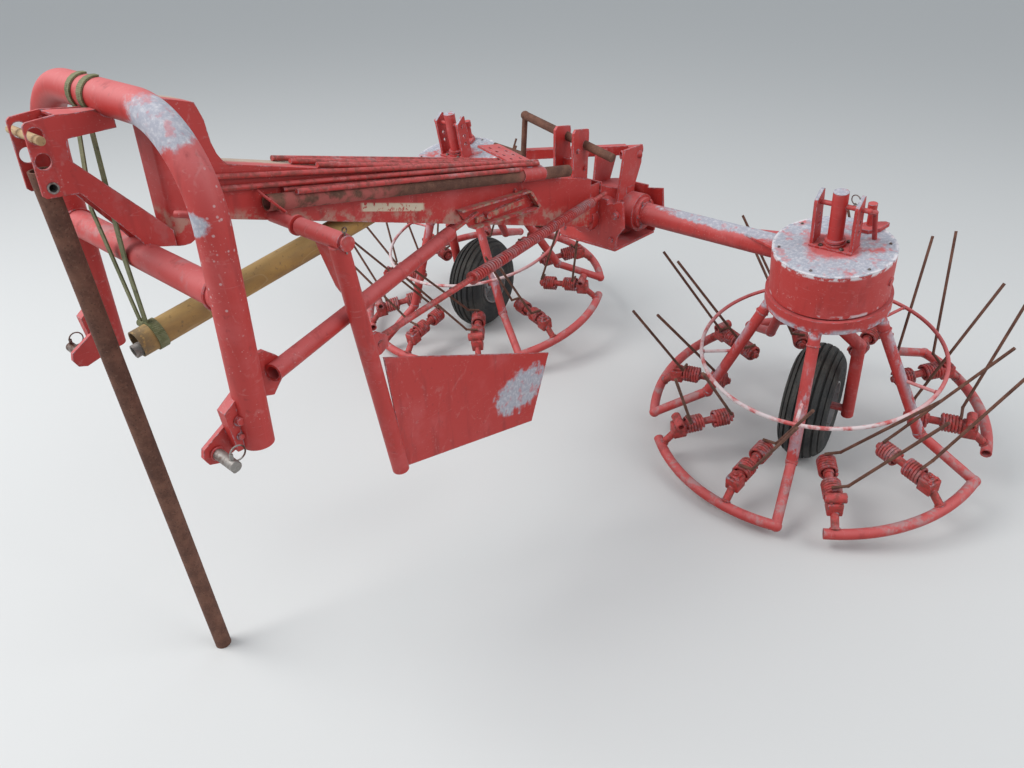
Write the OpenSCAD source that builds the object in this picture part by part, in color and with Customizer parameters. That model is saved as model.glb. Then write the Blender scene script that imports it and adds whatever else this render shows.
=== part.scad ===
// Hay tedder: a two-rotor machine that a tractor carries on its three-point linkage.
// Millimetres. The floor is at Z = 0, the hitch looks along -Y, the machine's left is +X.

/* [Rotor stance] */
// Half the distance between the two rotor axes
axis_x = 750; // [700:1:820]
// Forward lean of the rotor axes
lean = 12; // [6:0.5:15]
// Depth of the wheel centre below the drum top, along the rotor axis
wheel_drop = 590; // [560:1:630]

/* [Drums] */
// Radius of the drum
drum_r = 167; // [140:1:190]
// Height of the drum wall
drum_h = 137; // [110:1:160]
// Sheet thickness of the drum
drum_wall = 5; // [3:0.5:8]
// Height of the post above the drum top
post_up = 166; // [120:1:200]
// Radius of the post
post_r = 21; // [18:0.5:28]
// Distance of the drilled plates from the post's axis
bracket_x = 56; // [48:1:70]
// Radius of the pin that locks the post
lock_pin_r = 7; // [5:0.5:9]

/* [Rotor baskets] */
// Radius of the turning flange under the drum
flange_r = 177; // [170:1:190]
// Height of the turning flange
flange_h = 40; // [25:1:60]
// Running gap between drum and flange
flange_gap = 6; // [5:0.5:10]
// Number of arms on a rotor
arm_count = 5; // [4:1:7]
// Angle of the first arm
arm_first = -4; // [-30:1:30]
// Radius of an arm tube
arm_r = 17; // [14:0.5:22]
// Distance of an arm's knee from the rotor axis
knee_r = 338; // [310:1:360]
// Depth of the knee below the drum top
knee_drop = 545; // [520:1:570]
// Depth of the ring arms below the drum top
ring_drop = 640; // [600:1:660]
// Radius that the ring arms follow
ring_r = 516; // [490:1:550]
// Tube radius of the ring arms
ring_tube = 16; // [12:0.5:20]
// Radius of the guard ring
guard_r = 359; // [330:1:390]
// Depth of the guard ring below the drum top
guard_drop = 373; // [340:1:400]
// Rod radius of the guard ring
guard_rod = 6; // [4:0.5:8]

/* [Tines] */
// Distance of the middle of a pair of coils from the rotor axis
coil_r = 360; // [350:1:385]
// Spacing of the two coils of a pair
coil_pitch = 94; // [84:1:104]
// Depth of the coils below the drum top
coil_drop = 575; // [560:1:590]
// Outer radius of a tine coil
coil_out = 29; // [22:0.5:34]
// Wire radius of a tine
wire_r = 4.5; // [3.5:0.25:5.5]
// Turns in one tine coil
coil_turns = 6; // [4:1:7]
// Distance of a coil's clamp from the rotor axis
clamp_r = 455; // [445:1:470]
// Length of a tine
tine_len = 400; // [300:5:440]

/* [Wheels] */
// Radius of the tyre
tyre_r = 195; // [180:1:210]
// Width of the tyre
tyre_w = 150; // [130:1:165]
// Radius of the rim seat
rim_r = 82; // [70:1:95]
// Turn of the wheels about the upright
wheel_yaw = 10; // [0:1:20]
// Radius of the axle
axle_r = 12; // [10:0.5:16]

/* [Arm tubes] */
// Radius of the tubes that carry the drums
boom_r = 36; // [30:0.5:45]
// Depth of those tubes below the drum top
boom_drop = 49; // [40:1:70]

/* [Hitch frame] */
// Forward distance of the hoop from the rotor line
hoop_y = 1585; // [1500:1:1650]
// Half the spacing of the hoop legs
hoop_x = 300; // [270:1:340]
// Height of the hoop's top tube
hoop_z = 1317; // [1250:1:1380]
// Height of the lower end of the hoop legs
hoop_foot = 735; // [680:1:780]
// Tube radius of the hoop
hoop_tube = 30; // [26:0.5:34]
// Bend radius of the hoop
hoop_bend = 170; // [120:1:200]
// Wall of the frame tubes
tube_wall = 5; // [3:0.5:8]
// Height of the cross tube
cross_z = 1029; // [980:1:1080]
// Tube radius of the cross tube
cross_r = 28; // [24:0.5:34]
// Forward distance of the mast bores from the hoop
mast_out = 129; // [110:1:150]
// Outer distance across the mast plates
mast_w = 70; // [64:1:76]
// Thickness of the mast plates
mast_t = 5; // [4:0.5:10]
// Depth of the top link bore below the hoop's top tube
link_top_drop = 39; // [32:1:48]
// Distance between the two link bores
link_pitch = 41; // [38:1:48]
// Radius of the top and middle link bores
link_bore_r = 12.85; // [9:0.05:16]
// Distance of the stand's bush below the middle link bore
stand_pitch = 44; // [38:1:50]
// Radius of the stand's hole
stand_bore_r = 9.75; // [7:0.05:12]
// Forward distance of the lower link pins from the hoop
pin_out = 73; // [62:1:90]
// Distance of the shoulder of a lower link pin from the middle
pin_x = 280; // [262:1:290]
// Radius of the lower link pins
pin_r = 11; // [9:0.05:14]
// Free length of a lower link pin
pin_len = 64; // [55:1:90]
// Tube radius of the side brace
brace_r = 18; // [15:0.5:19]

/* [Beam] */
// Width across the beam
beam_w = 80; // [72:1:90]
// Thickness of the beam's sheets
beam_t = 6; // [4:0.5:8]
// Depth of the beam's side where it leaves the upright
beam_depth = 109; // [95:1:125]
// Depth of the beam's upright, front to back
column_d = 107; // [90:1:125]

/* [Stand] */
// Radius of the stand tube
stand_r = 19; // [16:0.5:25]
// Rearward lean of the stand tube
stand_lean = 3.5; // [0:0.5:6]

/* [Drive guard] */
// Height of the guard's front end
guard_z = 858; // [830:1:880]
// Radius of the guard tube
guard_tube_r = 28; // [25:0.5:30]
// Radius of the drive tube
shaft_r = 14; // [11:0.5:18]

/* [Side deflector] */
// Forward distance of the deflector's pivot
pivot_y = 1322; // [1290:1:1330]
// Height of the deflector's pivot
pivot_z = 1046; // [1030:1:1048]
// Distance of the deflector from the middle
flap_x = 262; // [250:1:264]
// Tube radius of the deflector's arm
flap_r = 20; // [17:0.5:24]
// Radius of the pivot
pivot_r = 13; // [10:0.5:15]
// Thickness of the deflector's sheet
flap_t = 4; // [2:0.5:8]
// Radius of the spring rod
rod_r = 7.5; // [6:0.5:8]
// Outer radius of the long spring
spring_out = 16; // [14:0.5:18]
// Wire radius of the long spring
spring_wire = 3.5; // [2.5:0.25:3.75]

/* [Stowed gate] */
// Radius of the gate's tube
gate_tube_r = 17; // [14:0.5:19]
// Radius of the gate's rods
gate_rod_r = 6; // [4:0.5:7]
// Tilt of the gate's head plate
head_tilt = 11; // [6:0.5:14]

/* [Hidden] */
$fn = 48;
// Shift that brings the middle of the footprint to the origin
mid_y = 539.3;
run = 0.3;
fit = 0.1;
drum_z = tyre_r + wheel_drop * cos(lean);
flange_top = -drum_h - flange_gap;
flange_low = flange_top - flange_h;
hub_r = 46;
hub_low = flange_low - 40;
stem_r = post_r - 2;
stem_x = tyre_w / 2 + 37;
stem_bend = hub_low - 105;
boom_z = drum_z - boom_drop * cos(lean);
boom_y = boom_drop * sin(lean);
bracket_h = 142;
lock_z = post_up - 40;

// Arms run straight from the flange to the knee
arm_step = 360 / arm_count;
arm_angles = [for (i = [0 : arm_count - 1]) arm_first + i * arm_step];
arm_root_r = flange_r - 25;
arm_root_drop = -flange_low - 18;
ring_sweep = 0.8 * arm_step;
function arm_at(drop) = arm_root_r + (knee_r - arm_root_r) * (drop - arm_root_drop) / (knee_drop - arm_root_drop);

// Mast
mast_y = hoop_y + mast_out;
link_top_z = hoop_z - link_top_drop;
link_mid_z = link_top_z - link_pitch;
stand_z = link_mid_z - stand_pitch;
mast_in = mast_w / 2 - mast_t;
stand_y = mast_y - 2;
stand_top = 24;
stand_len = stand_z / cos(stand_lean) - stand_r * tan(stand_lean);
pin_y = hoop_y + pin_out;
pin_z = hoop_foot + 4;
peg_r = 7.5;

// Beam: its top and bottom lines as heights at a forward distance
beam_front = hoop_y - 55;
column_y = beam_front - column_d;
beam_rear = 196;
beam_rear_z = boom_z + 145;
beam_rise = (hoop_z - 143 - beam_rear_z) / (column_y - beam_rear);
function beam_top(y) = beam_rear_z + (y - beam_rear) * beam_rise;
function beam_low(y) = beam_top(y) - beam_depth - (column_y - y) * 0.0365;
beam_side = [[hoop_y - 8, hoop_z - 30], [hoop_y - 8, hoop_z + 8], [column_y + 17, hoop_z - 28],
    [column_y + 5, beam_top(column_y) + 82], [column_y, beam_top(column_y) + 40],
    [column_y - 7, beam_top(column_y) + 18], [column_y - 15, beam_top(column_y) + 5],
    [column_y - 25, beam_top(column_y - 25)], [beam_rear, beam_rear_z], [beam_rear, beam_low(beam_rear)],
    [column_y + 15, beam_low(column_y + 15)], [beam_front - 25, cross_z + 9], [beam_front, cross_z + 9],
    [beam_front, hoop_z - 42]];

// Drive guard: its front end, its slope and the plate across the beam that carries it
bearing_y = 1010;
guard_y = hoop_y + 55;
guard_rear_z = beam_top(bearing_y) - 93;
guard_tilt = atan((guard_rear_z - guard_z) / (guard_y - bearing_y));
guard_in = guard_tube_r - 3;
guard_front = [0, -guard_y, guard_z];
guard_back = [0, -bearing_y - run, guard_rear_z - run * tan(guard_tilt)];
shaft_drop = (guard_in - shaft_r - fit) * [0, sin(guard_tilt), -cos(guard_tilt)];
guard_dir = [0, cos(guard_tilt), sin(guard_tilt)];
shaft_low = guard_front + shaft_drop - 12 * guard_dir;
shaft_high = guard_back + shaft_drop + 30 * guard_dir;

// Deflector
flap_top = [flap_x, -pivot_y - 2, pivot_z - 8];
flap_foot = [flap_x, -1227, 446];
eye_y = 1241;
eye_z = 788;
rod_low = [flap_x - 28, -eye_y, eye_z];
rod_high = [56, -140, boom_z + 91];
rod_line = rod_high - rod_low;

// Cross shaft over the beam's rear end, its crank and the square bar behind it
fork_y = 213;
cross_shaft_r = 13;
cross_left = [-218, -fork_y, beam_rear_z + 161];
cross_right = [127, -fork_y, beam_rear_z + 84];
crank_low = [-225, -fork_y, beam_rear_z + 36];
bar_half = 15;
bar_left = crank_low + [0, 8, 0];
bar_right = [-16, 74, boom_z + 176];
socket_end = [54, 57, boom_z + 176];

// Gate: the tube's height at a forward distance and the underside of the head plate at a distance
// from the middle
head_y = 510;
tube_x = beam_w / 2 + gate_tube_r + 3;
tube_front = 1341;
tube_rear = 345;
tube_rise = 0.15;
function tube_z(y) = beam_top(head_y) + 10 + (y - head_y) * tube_rise;
function head_z(x) = tube_z(head_y) + gate_tube_r - 1 + (tube_x - x) * tan(head_tilt);

// Sleeve of the deflector's arm
sleeve_x1 = tube_x + 80;
sleeve_x2 = flap_x + 18;

// Rods on the beam's top: distance from the middle, front end and rear end as forward distances
top_rods = [[-30, 1258, 550], [-14, 1210, 548], [2, 1235, 552], [18, 1150, 549], [33, 1190, 551]];

// Rods beside the beam: front end, height above the beam's top line there, rear distance from the
// middle, rear end
side_rods = [[1437, -25, 47, 470], [1455, -50, 60, 482]];

// Cylinder from one point to another
module bar(p, q, r) {
    d = q - p;
    translate(p) rotate([0, acos(d.z / norm(d)), atan2(d.y, d.x)]) cylinder(h = norm(d), r = r);
}

// Turns +Z to point from one point to another
module along(p, q) {
    d = q - p;
    translate(p) rotate([0, acos(d.z / norm(d)), atan2(d.y, d.x)]) children();
}

// Tube from one point to another, open at both ends
module pipe(p, q, r, w) {
    d = q - p;
    translate(p) rotate([0, acos(d.z / norm(d)), atan2(d.y, d.x)]) difference() {
        cylinder(h = norm(d), r = r);
        translate([0, 0, -1]) cylinder(h = norm(d) + 2, r = r - w);
    }
}

// Cylinder along X from one distance to another
module cross_bar(x1, x2, y, z, r) translate([x1, -y, z]) rotate([0, 90, 0]) cylinder(h = x2 - x1, r = r);

// Plate seen from the side: outline in forward distance and height, between two distances from the middle
module side_plate(outline, x1, x2) {
    translate([x2, 0, 0]) rotate([90, 0, -90]) linear_extrude(x2 - x1) polygon(outline);
}

// Plate seen from the front: outline in distance from the middle and height, between two forward distances
module front_plate(outline, y1, y2) {
    translate([0, -y1, 0]) rotate([90, 0, 0]) linear_extrude(y2 - y1) polygon(outline);
}

module at_machine() { translate([0, mid_y, 0]) children(); }
module at_drum(s) { translate([s * axis_x, mid_y, drum_z]) rotate([lean, 0, 0]) children(); }
module at_wheel(s) { at_drum(s) translate([0, 0, -wheel_drop]) rotate([0, 0, wheel_yaw]) children(); }

/* Hitch frame */
module hoop_solid(r) {
    for (s = [-1, 1]) {
        translate([s * hoop_x, -hoop_y, hoop_foot]) cylinder(h = hoop_z - hoop_bend - hoop_foot, r = r);
    }
    translate([-hoop_x + hoop_bend, -hoop_y, hoop_z - hoop_bend]) rotate([90, 0, 0])
        rotate([0, 0, 90]) rotate_extrude(angle = 90) translate([hoop_bend, 0]) circle(r);
    translate([hoop_x - hoop_bend, -hoop_y, hoop_z - hoop_bend]) rotate([90, 0, 0])
        rotate_extrude(angle = 90) translate([hoop_bend, 0]) circle(r);
    cross_bar(-hoop_x + hoop_bend, hoop_x - hoop_bend, hoop_y, hoop_z, r);
}

module hoop() color([0.72, 0.12, 0.1]) at_machine() {
    difference() {
        hoop_solid(hoop_tube);
        hoop_solid(hoop_tube - tube_wall);
    }
}

module cross_solid() cross_bar(-hoop_x, hoop_x, hoop_y, cross_z, cross_r);

module cross_tube() color([0.7, 0.12, 0.1]) at_machine() {
    difference() {
        cross_solid();
        cross_bar(-hoop_x - 1, hoop_x + 1, hoop_y, cross_z, cross_r - tube_wall);
        for (s = [-1, 1]) translate([s * hoop_x, -hoop_y, cross_z - 60]) cylinder(h = 120, r = hoop_tube);
    }
}

// A mast plate: its drilled head, an upper arm to the hoop and a sloping arm to the beam's foot
mast_side = [[mast_y + 15, link_top_z + 17], [mast_y + 9, link_top_z + 22], [mast_y - 38, link_top_z + 27],
    [hoop_y, link_top_z + 18], [hoop_y, link_top_z - 9], [mast_y - 45, link_top_z - 13],
    [mast_y - 39, link_mid_z - 4], [hoop_y - 24, cross_z + 78], [beam_front, cross_z + 42],
    [beam_front, cross_z + 10], [hoop_y, cross_z + 24], [hoop_y + 10, cross_z + 40],
    [mast_y - 42, stand_z - 18], [mast_y + 12, stand_z - 15], [mast_y + 17, stand_z - 10]];

module mast_plates() color([0.68, 0.1, 0.09]) at_machine() {
    difference() {
        union() {
            for (s = [-1, 1])
                side_plate(mast_side, s * (mast_w - mast_t) / 2 - mast_t / 2, s * (mast_w - mast_t) / 2 + mast_t / 2);
            translate([0, 0, link_top_z + 21]) linear_extrude(4)
                polygon([[-mast_w / 2, -mast_y + 40], [mast_w / 2, -mast_y + 40], [mast_w / 2, -hoop_y - 8],
                    [mast_w / 2 - 12, -hoop_y - 8]]);
            for (x = [-mast_in, mast_in - 4]) translate([x, -mast_y + 33, stand_z - 14])
                cube([4, 6, link_top_z - stand_z + 30]);
        }
        for (z = [link_top_z, link_mid_z]) cross_bar(-mast_w, mast_w, mast_y, z, link_bore_r);
        cross_bar(-mast_w, mast_w, stand_y, stand_z, stand_bore_r);
        hoop_solid(hoop_tube);
        cross_solid();
    }
}

module beam_blank() intersection() {
    side_plate(beam_side, -beam_w / 2, beam_w / 2);
    union() {
        translate([-beam_w / 2, -beam_front + 14, 0]) cube([beam_w, 3000, 2000]);
        translate([-beam_w / 2 + 14, -beam_front, 0]) cube([beam_w - 28, 200, 2000]);
        translate([-beam_w / 2, -2000, hoop_z - 45]) cube([beam_w, 2000, 200]);
        for (s = [-1, 1]) translate([s * (beam_w / 2 - 14), -beam_front + 14, 0]) cylinder(h = 2000, r = 14);
    }
}

module main_beam() color([0.66, 0.1, 0.09]) at_machine() {
    difference() {
        beam_blank();
        difference() {
            union() {
                side_plate([[column_y - 30, beam_top(column_y - 30) - beam_t], [beam_rear + 8, beam_top(beam_rear + 8) - beam_t],
                    [beam_rear + 8, beam_low(beam_rear) - 60], [column_y - 30, beam_low(column_y - 30) - 60]],
                    -beam_w / 2 + beam_t, beam_w / 2 - beam_t);
                translate([-beam_w / 2 + beam_t, -beam_front + beam_t + 8, cross_z])
                    cube([beam_w - 2 * beam_t, column_d - 2 * beam_t - 12, hoop_z - cross_z - 50]);
            }
            translate([-beam_w / 2, -bearing_y, 700]) cube([beam_w, 10, 500]);
        }
        hoop_solid(hoop_tube);
        bar(shaft_low, shaft_high, shaft_r + fit);
    }
}

module brace_tube() color([0.7, 0.12, 0.1]) at_machine() {
    low = [hoop_x - 5, -hoop_y + 58, hoop_foot + 121];
    high = [beam_w / 2 + 10, -826, beam_low(826) - 24];
    difference() {
        union() {
            pipe(low, high, brace_r, tube_wall);
            side_plate([[hoop_y, hoop_foot + 160], [hoop_y - 58, hoop_foot + 162], [hoop_y - 84, hoop_foot + 140],
                [hoop_y - 84, hoop_foot + 92], [hoop_y - 62, hoop_foot + 66], [hoop_y, hoop_foot + 84]],
                hoop_x - 32, hoop_x - 21);
            along(high, high + [0, 100, 26]) translate([-4, -3, -20]) cube([8, 30, 130]);
        }
        translate([hoop_x, -hoop_y, hoop_foot]) cylinder(h = 240, r = hoop_tube);
        beam_blank();
    }
    side_channel();
}

// Slanted channel on the beam's side, with the lever that the brace's strap meets
module side_channel() {
    x1 = beam_w / 2;
    y1 = 471;
    y2 = 746;
    function line(y) = beam_low(y1) + 58 + (y - y1) * 0.04;
    side_plate([[y2 + 47, line(y2) + 62], [y1 + 48, line(y1) + 62], [y1, line(y1)], [y2, line(y2)]], x1, x1 + 4);
    side_plate([[y2 + 47, line(y2) + 62], [y1 + 48, line(y1) + 62], [y1 + 44, line(y1) + 57], [y2 + 43, line(y2) + 57]],
        x1 + 4, x1 + 24);
    side_plate([[y2 + 4, line(y2) + 5], [y1 + 4, line(y1) + 5], [y1, line(y1)], [y2, line(y2)]], x1 + 4, x1 + 24);
    side_plate([[y1 + 51, line(y1) + 62], [y1 + 42, line(y1) + 62], [y1 - 6, line(y1)], [y1 + 3, line(y1)]],
        x1, x1 + 24);
    side_plate([[y2 - 20, line(y2) + 24], [y1 + 60, line(y1) + 42], [y1 + 60, line(y1) + 24], [y2 - 20, line(y2) + 10]],
        x1 + 4, x1 + 12);
    cross_bar(x1 + 4, x1 + 22, y2 - 60, line(y2) + 22, 9);
}

// A boxed gusset on each leg and the plate that holds the pin
module link_plates() color([0.68, 0.1, 0.09]) at_machine() {
    gusset = [[hoop_y, hoop_foot + 126], [hoop_y + 8, hoop_foot + 122], [hoop_y + 54, hoop_foot + 88],
        [hoop_y + 44, hoop_foot + 2], [hoop_y, hoop_foot + 2]];
    lever = [[hoop_y + 20, hoop_foot + 60], [hoop_y + 45, hoop_foot + 52], [pin_y + 22, pin_z + 17], [pin_y + 26, pin_z],
        [pin_y + 18, pin_z - 17], [pin_y, pin_z - 23], [hoop_y + 42, pin_z - 14], [hoop_y + 20, pin_z - 4]];
    for (s = [-1, 1]) difference() {
        union() {
            side_plate(gusset, s * (hoop_x + 1) - 3, s * (hoop_x + 1) + 3);
            side_plate(gusset, s * (pin_x + 1.5) - 3, s * (pin_x + 1.5) + 3);
            side_plate([[hoop_y + 8, hoop_foot + 122], [hoop_y + 54, hoop_foot + 88], [hoop_y + 44, hoop_foot + 2],
                [hoop_y + 38, hoop_foot + 2], [hoop_y + 48, hoop_foot + 85], [hoop_y + 5, hoop_foot + 117]],
                s * (hoop_x + pin_x + 2.5) / 2 - (hoop_x - pin_x) / 2, s * (hoop_x + pin_x + 2.5) / 2 + (hoop_x - pin_x) / 2);
            side_plate(lever, s * (pin_x - 5) - 5, s * (pin_x - 5) + 5);
        }
        translate([s * hoop_x, -hoop_y, hoop_foot - 40]) cylinder(h = 300, r = hoop_tube);
    }
}

module link_pins() color([0.55, 0.5, 0.48]) at_machine() {
    for (s = [-1, 1]) translate([s * pin_x, -pin_y, pin_z]) rotate([0, s * 90, 0]) difference() {
        cylinder(h = pin_len, r = pin_r);
        translate([-20, 0, pin_len - 10]) rotate([0, 90, 0]) cylinder(h = 40, r = 4);
    }
}

// A plain wooden peg that lies in the top bores
module top_pin() color([0.62, 0.5, 0.36]) at_machine() {
    cross_bar(-mast_w / 2 - 40, mast_w / 2 + 17, mast_y, link_top_z - link_bore_r + peg_r + fit, peg_r);
}

module stand_bolt() color([0.5, 0.45, 0.4]) at_machine() difference() {
    cross_bar(-mast_w / 2 - 1, mast_w / 2 + 1, stand_y, stand_z, stand_bore_r - fit);
    cross_bar(-mast_w / 2 - 2, mast_w / 2 + 2, stand_y, stand_z, stand_bore_r - 3);
}

/* Stand */
module stand_tube() color([0.36, 0.2, 0.14]) at_machine() {
    translate([0, -stand_y, stand_z]) rotate([stand_lean, 0, 0]) difference() {
        translate([0, 0, -stand_len]) cylinder(h = stand_len + stand_top, r = stand_r);
        translate([0, 0, -stand_len - 1]) cylinder(h = stand_len + stand_top + 2, r = stand_r - 4);
        translate([-40, 0, 0]) rotate([0, 90, 0]) cylinder(h = 80, r = stand_bore_r);
    }
}

/* Drive shaft */
module shaft_guard() color([0.7, 0.5, 0.14]) at_machine() difference() {
    pipe(guard_front, guard_back + 10 * guard_dir, guard_tube_r, guard_tube_r - guard_in);
    translate([-100, -bearing_y - run, 500]) cube([200, 200, 800]);
}

module shaft_tube() color([0.45, 0.4, 0.36]) at_machine() {
    pipe(shaft_low, shaft_high, shaft_r, 3);
}

// Side view of a strap that hangs over the hoop: its line round the tube, then down to two points
strap_in = (hoop_tube + run + 0.1) / cos(8.5);
function wrap(r, steps) = [for (i = steps) [hoop_y + r * cos(100 - 17 * i), hoop_z + r * sin(100 - 17 * i)]];
function strap_outline(p, q) = concat(wrap(strap_in + 3, [0 : 8]), [p + [1.5, 0], q + [1.5, 0], q - [1.5, 0],
    p - [1.5, 0]], wrap(strap_in, [8 : -1 : 0]));

// Strap from the hoop, round the drive guard and back, as flat webbing
module strap() color([0.3, 0.32, 0.14]) at_machine() {
    front_x = -4;
    rear_x = -mast_w / 2 - 15;
    turn = guard_front + 32 * guard_dir;
    difference() {
        union() {
            side_plate(strap_outline([hoop_y + cross_r + 4, cross_z],
                [-turn.y + 2, turn.z + guard_tube_r + 1]), front_x - 9, front_x + 9);
            side_plate(strap_outline([hoop_y + 48, cross_z + 90],
                [-turn.y - 6, turn.z + 12]), rear_x - 8, rear_x + 8);
            along(turn, turn + guard_dir) cylinder(h = 20, r = guard_tube_r + run + 3);
            cross_bar(rear_x - 6, -20, -turn.y - 8, turn.z + 10, 9);
        }
        bar(guard_front, guard_back, guard_tube_r + run);
    }
}

/* Centre */
module gearbox() color([0.6, 0.1, 0.09]) at_machine() {
    cross_bar(-105, 105, -boom_y, boom_z, 62);
    difference() {
        union() {
            translate([0, 0, boom_z + 6]) rotate([90, 0, 0]) cylinder(h = 182, r = 46);
            translate([0, boom_y, boom_z - 78]) cylinder(h = 158, r = 58);
        }
        cross_bar(-104, 104, -boom_y, boom_z, 61);
    }
}

// Cheek plates in front of and behind the gearbox, joined below, with the flared end of the beam
cheek = [[-142, boom_z - 4], [-132, boom_z + 80], [-73, boom_z + 60], [-beam_w / 2, beam_rear_z - 18],
    [beam_w / 2 + 4, beam_rear_z - 18], [beam_w / 2 + 4, boom_z + 76], [73, boom_z + 76], [73, boom_z + 60],
    [132, boom_z + 80], [142, boom_z - 4], [118, boom_z - 36], [112, boom_z - 82], [-112, boom_z - 82],
    [-118, boom_z - 36]];

module yoke() color([0.64, 0.11, 0.1]) at_machine() {
    difference() {
        union() {
            front_plate(cheek, 142, 150);
            front_plate([for (p = cheek) [p.x, min(p.y, boom_z + 70)]], -92, -84);
            translate([-112, -146, boom_z - 90]) cube([224, 234, 8]);
            for (s = [-1, 1]) translate([s * (beam_w / 2 - 3) - 3, -beam_rear, beam_low(beam_rear) + 14])
                cube([6, beam_rear - 148, beam_rear_z - beam_low(beam_rear) - 34]);
        }
        translate([0, 0, boom_z + 6]) rotate([90, 0, 0]) cylinder(h = 182, r = 46);
        translate([0, boom_y, boom_z - 78]) cylinder(h = 158, r = 58);
    }
    for (s = [-1, 1]) translate([s * 112, -150, boom_z + 34]) rotate([90, 0, 0]) cylinder(h = 12, r = 12);
}

// Rusty shaft through the fork, and the crank at its left end
module cross_shaft() color([0.42, 0.2, 0.15]) at_machine() {
    bar(cross_left, cross_right, cross_shaft_r);
    translate(cross_left) sphere(cross_shaft_r + 1);
    bar(cross_left, crank_low, 9);
    translate(crank_low) sphere(10);
    bar(crank_low, crank_low + [-127, 0, 11], 8);
}

// Square bar behind the fork and its open sockets, with room for the crank's lower end
module lever_bar() {
    difference() {
        along(bar_left, bar_right) translate([-bar_half, -bar_half, 0])
            cube([2 * bar_half, 2 * bar_half, norm(bar_right - bar_left)]);
        bar(cross_left, crank_low, 9 + fit);
        translate(crank_low) sphere(10 + fit);
    }
    pipe(bar_right, bar_right + 0.16 * (bar_right - bar_left), bar_half - 1, 4);
    pipe(socket_end - 0.2 * (bar_right - bar_left), socket_end, bar_half - 1, 4);
}

// Fork on the beam's rear end and the plates that stand on the gearbox
module fork() color([0.7, 0.13, 0.11]) at_machine() {
    lever_bar();
    difference() {
        union() {
            for (x = [-54, 16]) side_plate([[fork_y + 57, beam_top(fork_y + 57)], [fork_y + 60, beam_rear_z + 150],
                [fork_y + 48, beam_rear_z + 160], [fork_y - 14, beam_rear_z + 152], [fork_y - 17, beam_rear_z + 140],
                [fork_y - 17, beam_top(fork_y - 17)]], x, x + 8);
            translate([-54, -fork_y - 16, beam_top(fork_y) - 5]) cube([78, 8, 60]);
            side_plate([[62, boom_z + 44], [38, boom_z + 206], [-64, boom_z + 206], [-64, boom_z + 148],
                [-20, boom_z + 44]], 46, 54);
            side_plate([[62, boom_z + 44], [50, boom_z + 186], [-62, boom_z + 186], [-62, boom_z + 150],
                [-20, boom_z + 44]], -54, -46);
        }
        bar(cross_left, cross_right, cross_shaft_r + fit);
        bar(socket_end - 0.2 * (bar_right - bar_left), socket_end + [3, 4, 0], bar_half - 5);
        beam_blank();
        cross_bar(-105, 105, -boom_y, boom_z, 62);
        translate([0, boom_y, boom_z - 78]) cylinder(h = 158, r = 58);
    }
}

module arm_tubes() color([0.72, 0.13, 0.11]) at_machine() {
    for (s = [-1, 1]) difference() {
        union() {
            translate([s * 105, boom_y, boom_z]) rotate([0, s * 90, 0]) cylinder(h = axis_x - 105, r = boom_r);
            translate([s * 105, boom_y, boom_z]) rotate([0, s * 90, 0]) cylinder(h = 14, r = boom_r + 16);
            translate([0, boom_y, boom_z + boom_r - 16]) linear_extrude(6)
                polygon([[s * (axis_x - drum_r - 90), -30], [s * (axis_x - drum_r - 90), 30], [s * (axis_x - 120), 92],
                    [s * (axis_x - 120), -92]]);
        }
        translate([s * axis_x, 0, drum_z]) rotate([lean, 0, 0]) translate([0, 0, -drum_h - 50])
            cylinder(h = drum_h + 100, r = drum_r);
    }
}

module drums() color([0.72, 0.13, 0.11]) {
    for (s = [-1, 1]) at_drum(s) {
        difference() {
            translate([0, 0, -drum_h]) cylinder(h = drum_h, r = drum_r);
            translate([0, 0, -drum_h - 1]) cylinder(h = drum_h + 1 - drum_wall, r = drum_r - drum_wall);
            translate([0, 0, -drum_h - 2]) cylinder(h = drum_h + 4, r = post_r);
        }
        translate([s * (drum_r - 3), 0, -drum_h / 2]) rotate([0, s * 90, 0]) cylinder(h = 7, r = 13);
    }
}

module posts() color([0.68, 0.12, 0.1]) {
    for (s = [-1, 1]) at_drum(s) difference() {
        union() {
            translate([0, 0, hub_low - 20]) cylinder(h = post_up - hub_low + 20, r = post_r);
            translate([0, 0, 6]) cylinder(h = 8, r = post_r + 10);
            translate([0, 0, 18]) cylinder(h = 7, r = post_r + 7);
        }
        translate([-80, 0, lock_z]) rotate([0, 90, 0]) cylinder(h = 160, r = lock_pin_r);
    }
}

module wheel_stem(s) {
    at_drum(s) rotate([0, 0, wheel_yaw]) difference() {
        union() {
            bar([0, 0, hub_low - 10], [s * stem_x, 0, stem_bend], stem_r);
            translate([0, 0, hub_low - 32]) cylinder(h = 12, r = post_r + 4);
            translate([s * stem_x, 0, -wheel_drop - 24]) cylinder(h = wheel_drop + 24 + stem_bend, r = stem_r);
            translate([s * stem_x, 0, stem_bend]) sphere(stem_r + 1);
            translate([s > 0 ? -44 : -stem_x, 0, -wheel_drop]) rotate([0, 90, 0])
                cylinder(h = stem_x + 44, r = axle_r);
        }
        translate([0, 0, hub_low - 20]) cylinder(h = 300, r = 60);
    }
}

module wheel_stems() color([0.66, 0.11, 0.1]) {
    for (s = [-1, 1]) wheel_stem(s);
}

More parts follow.
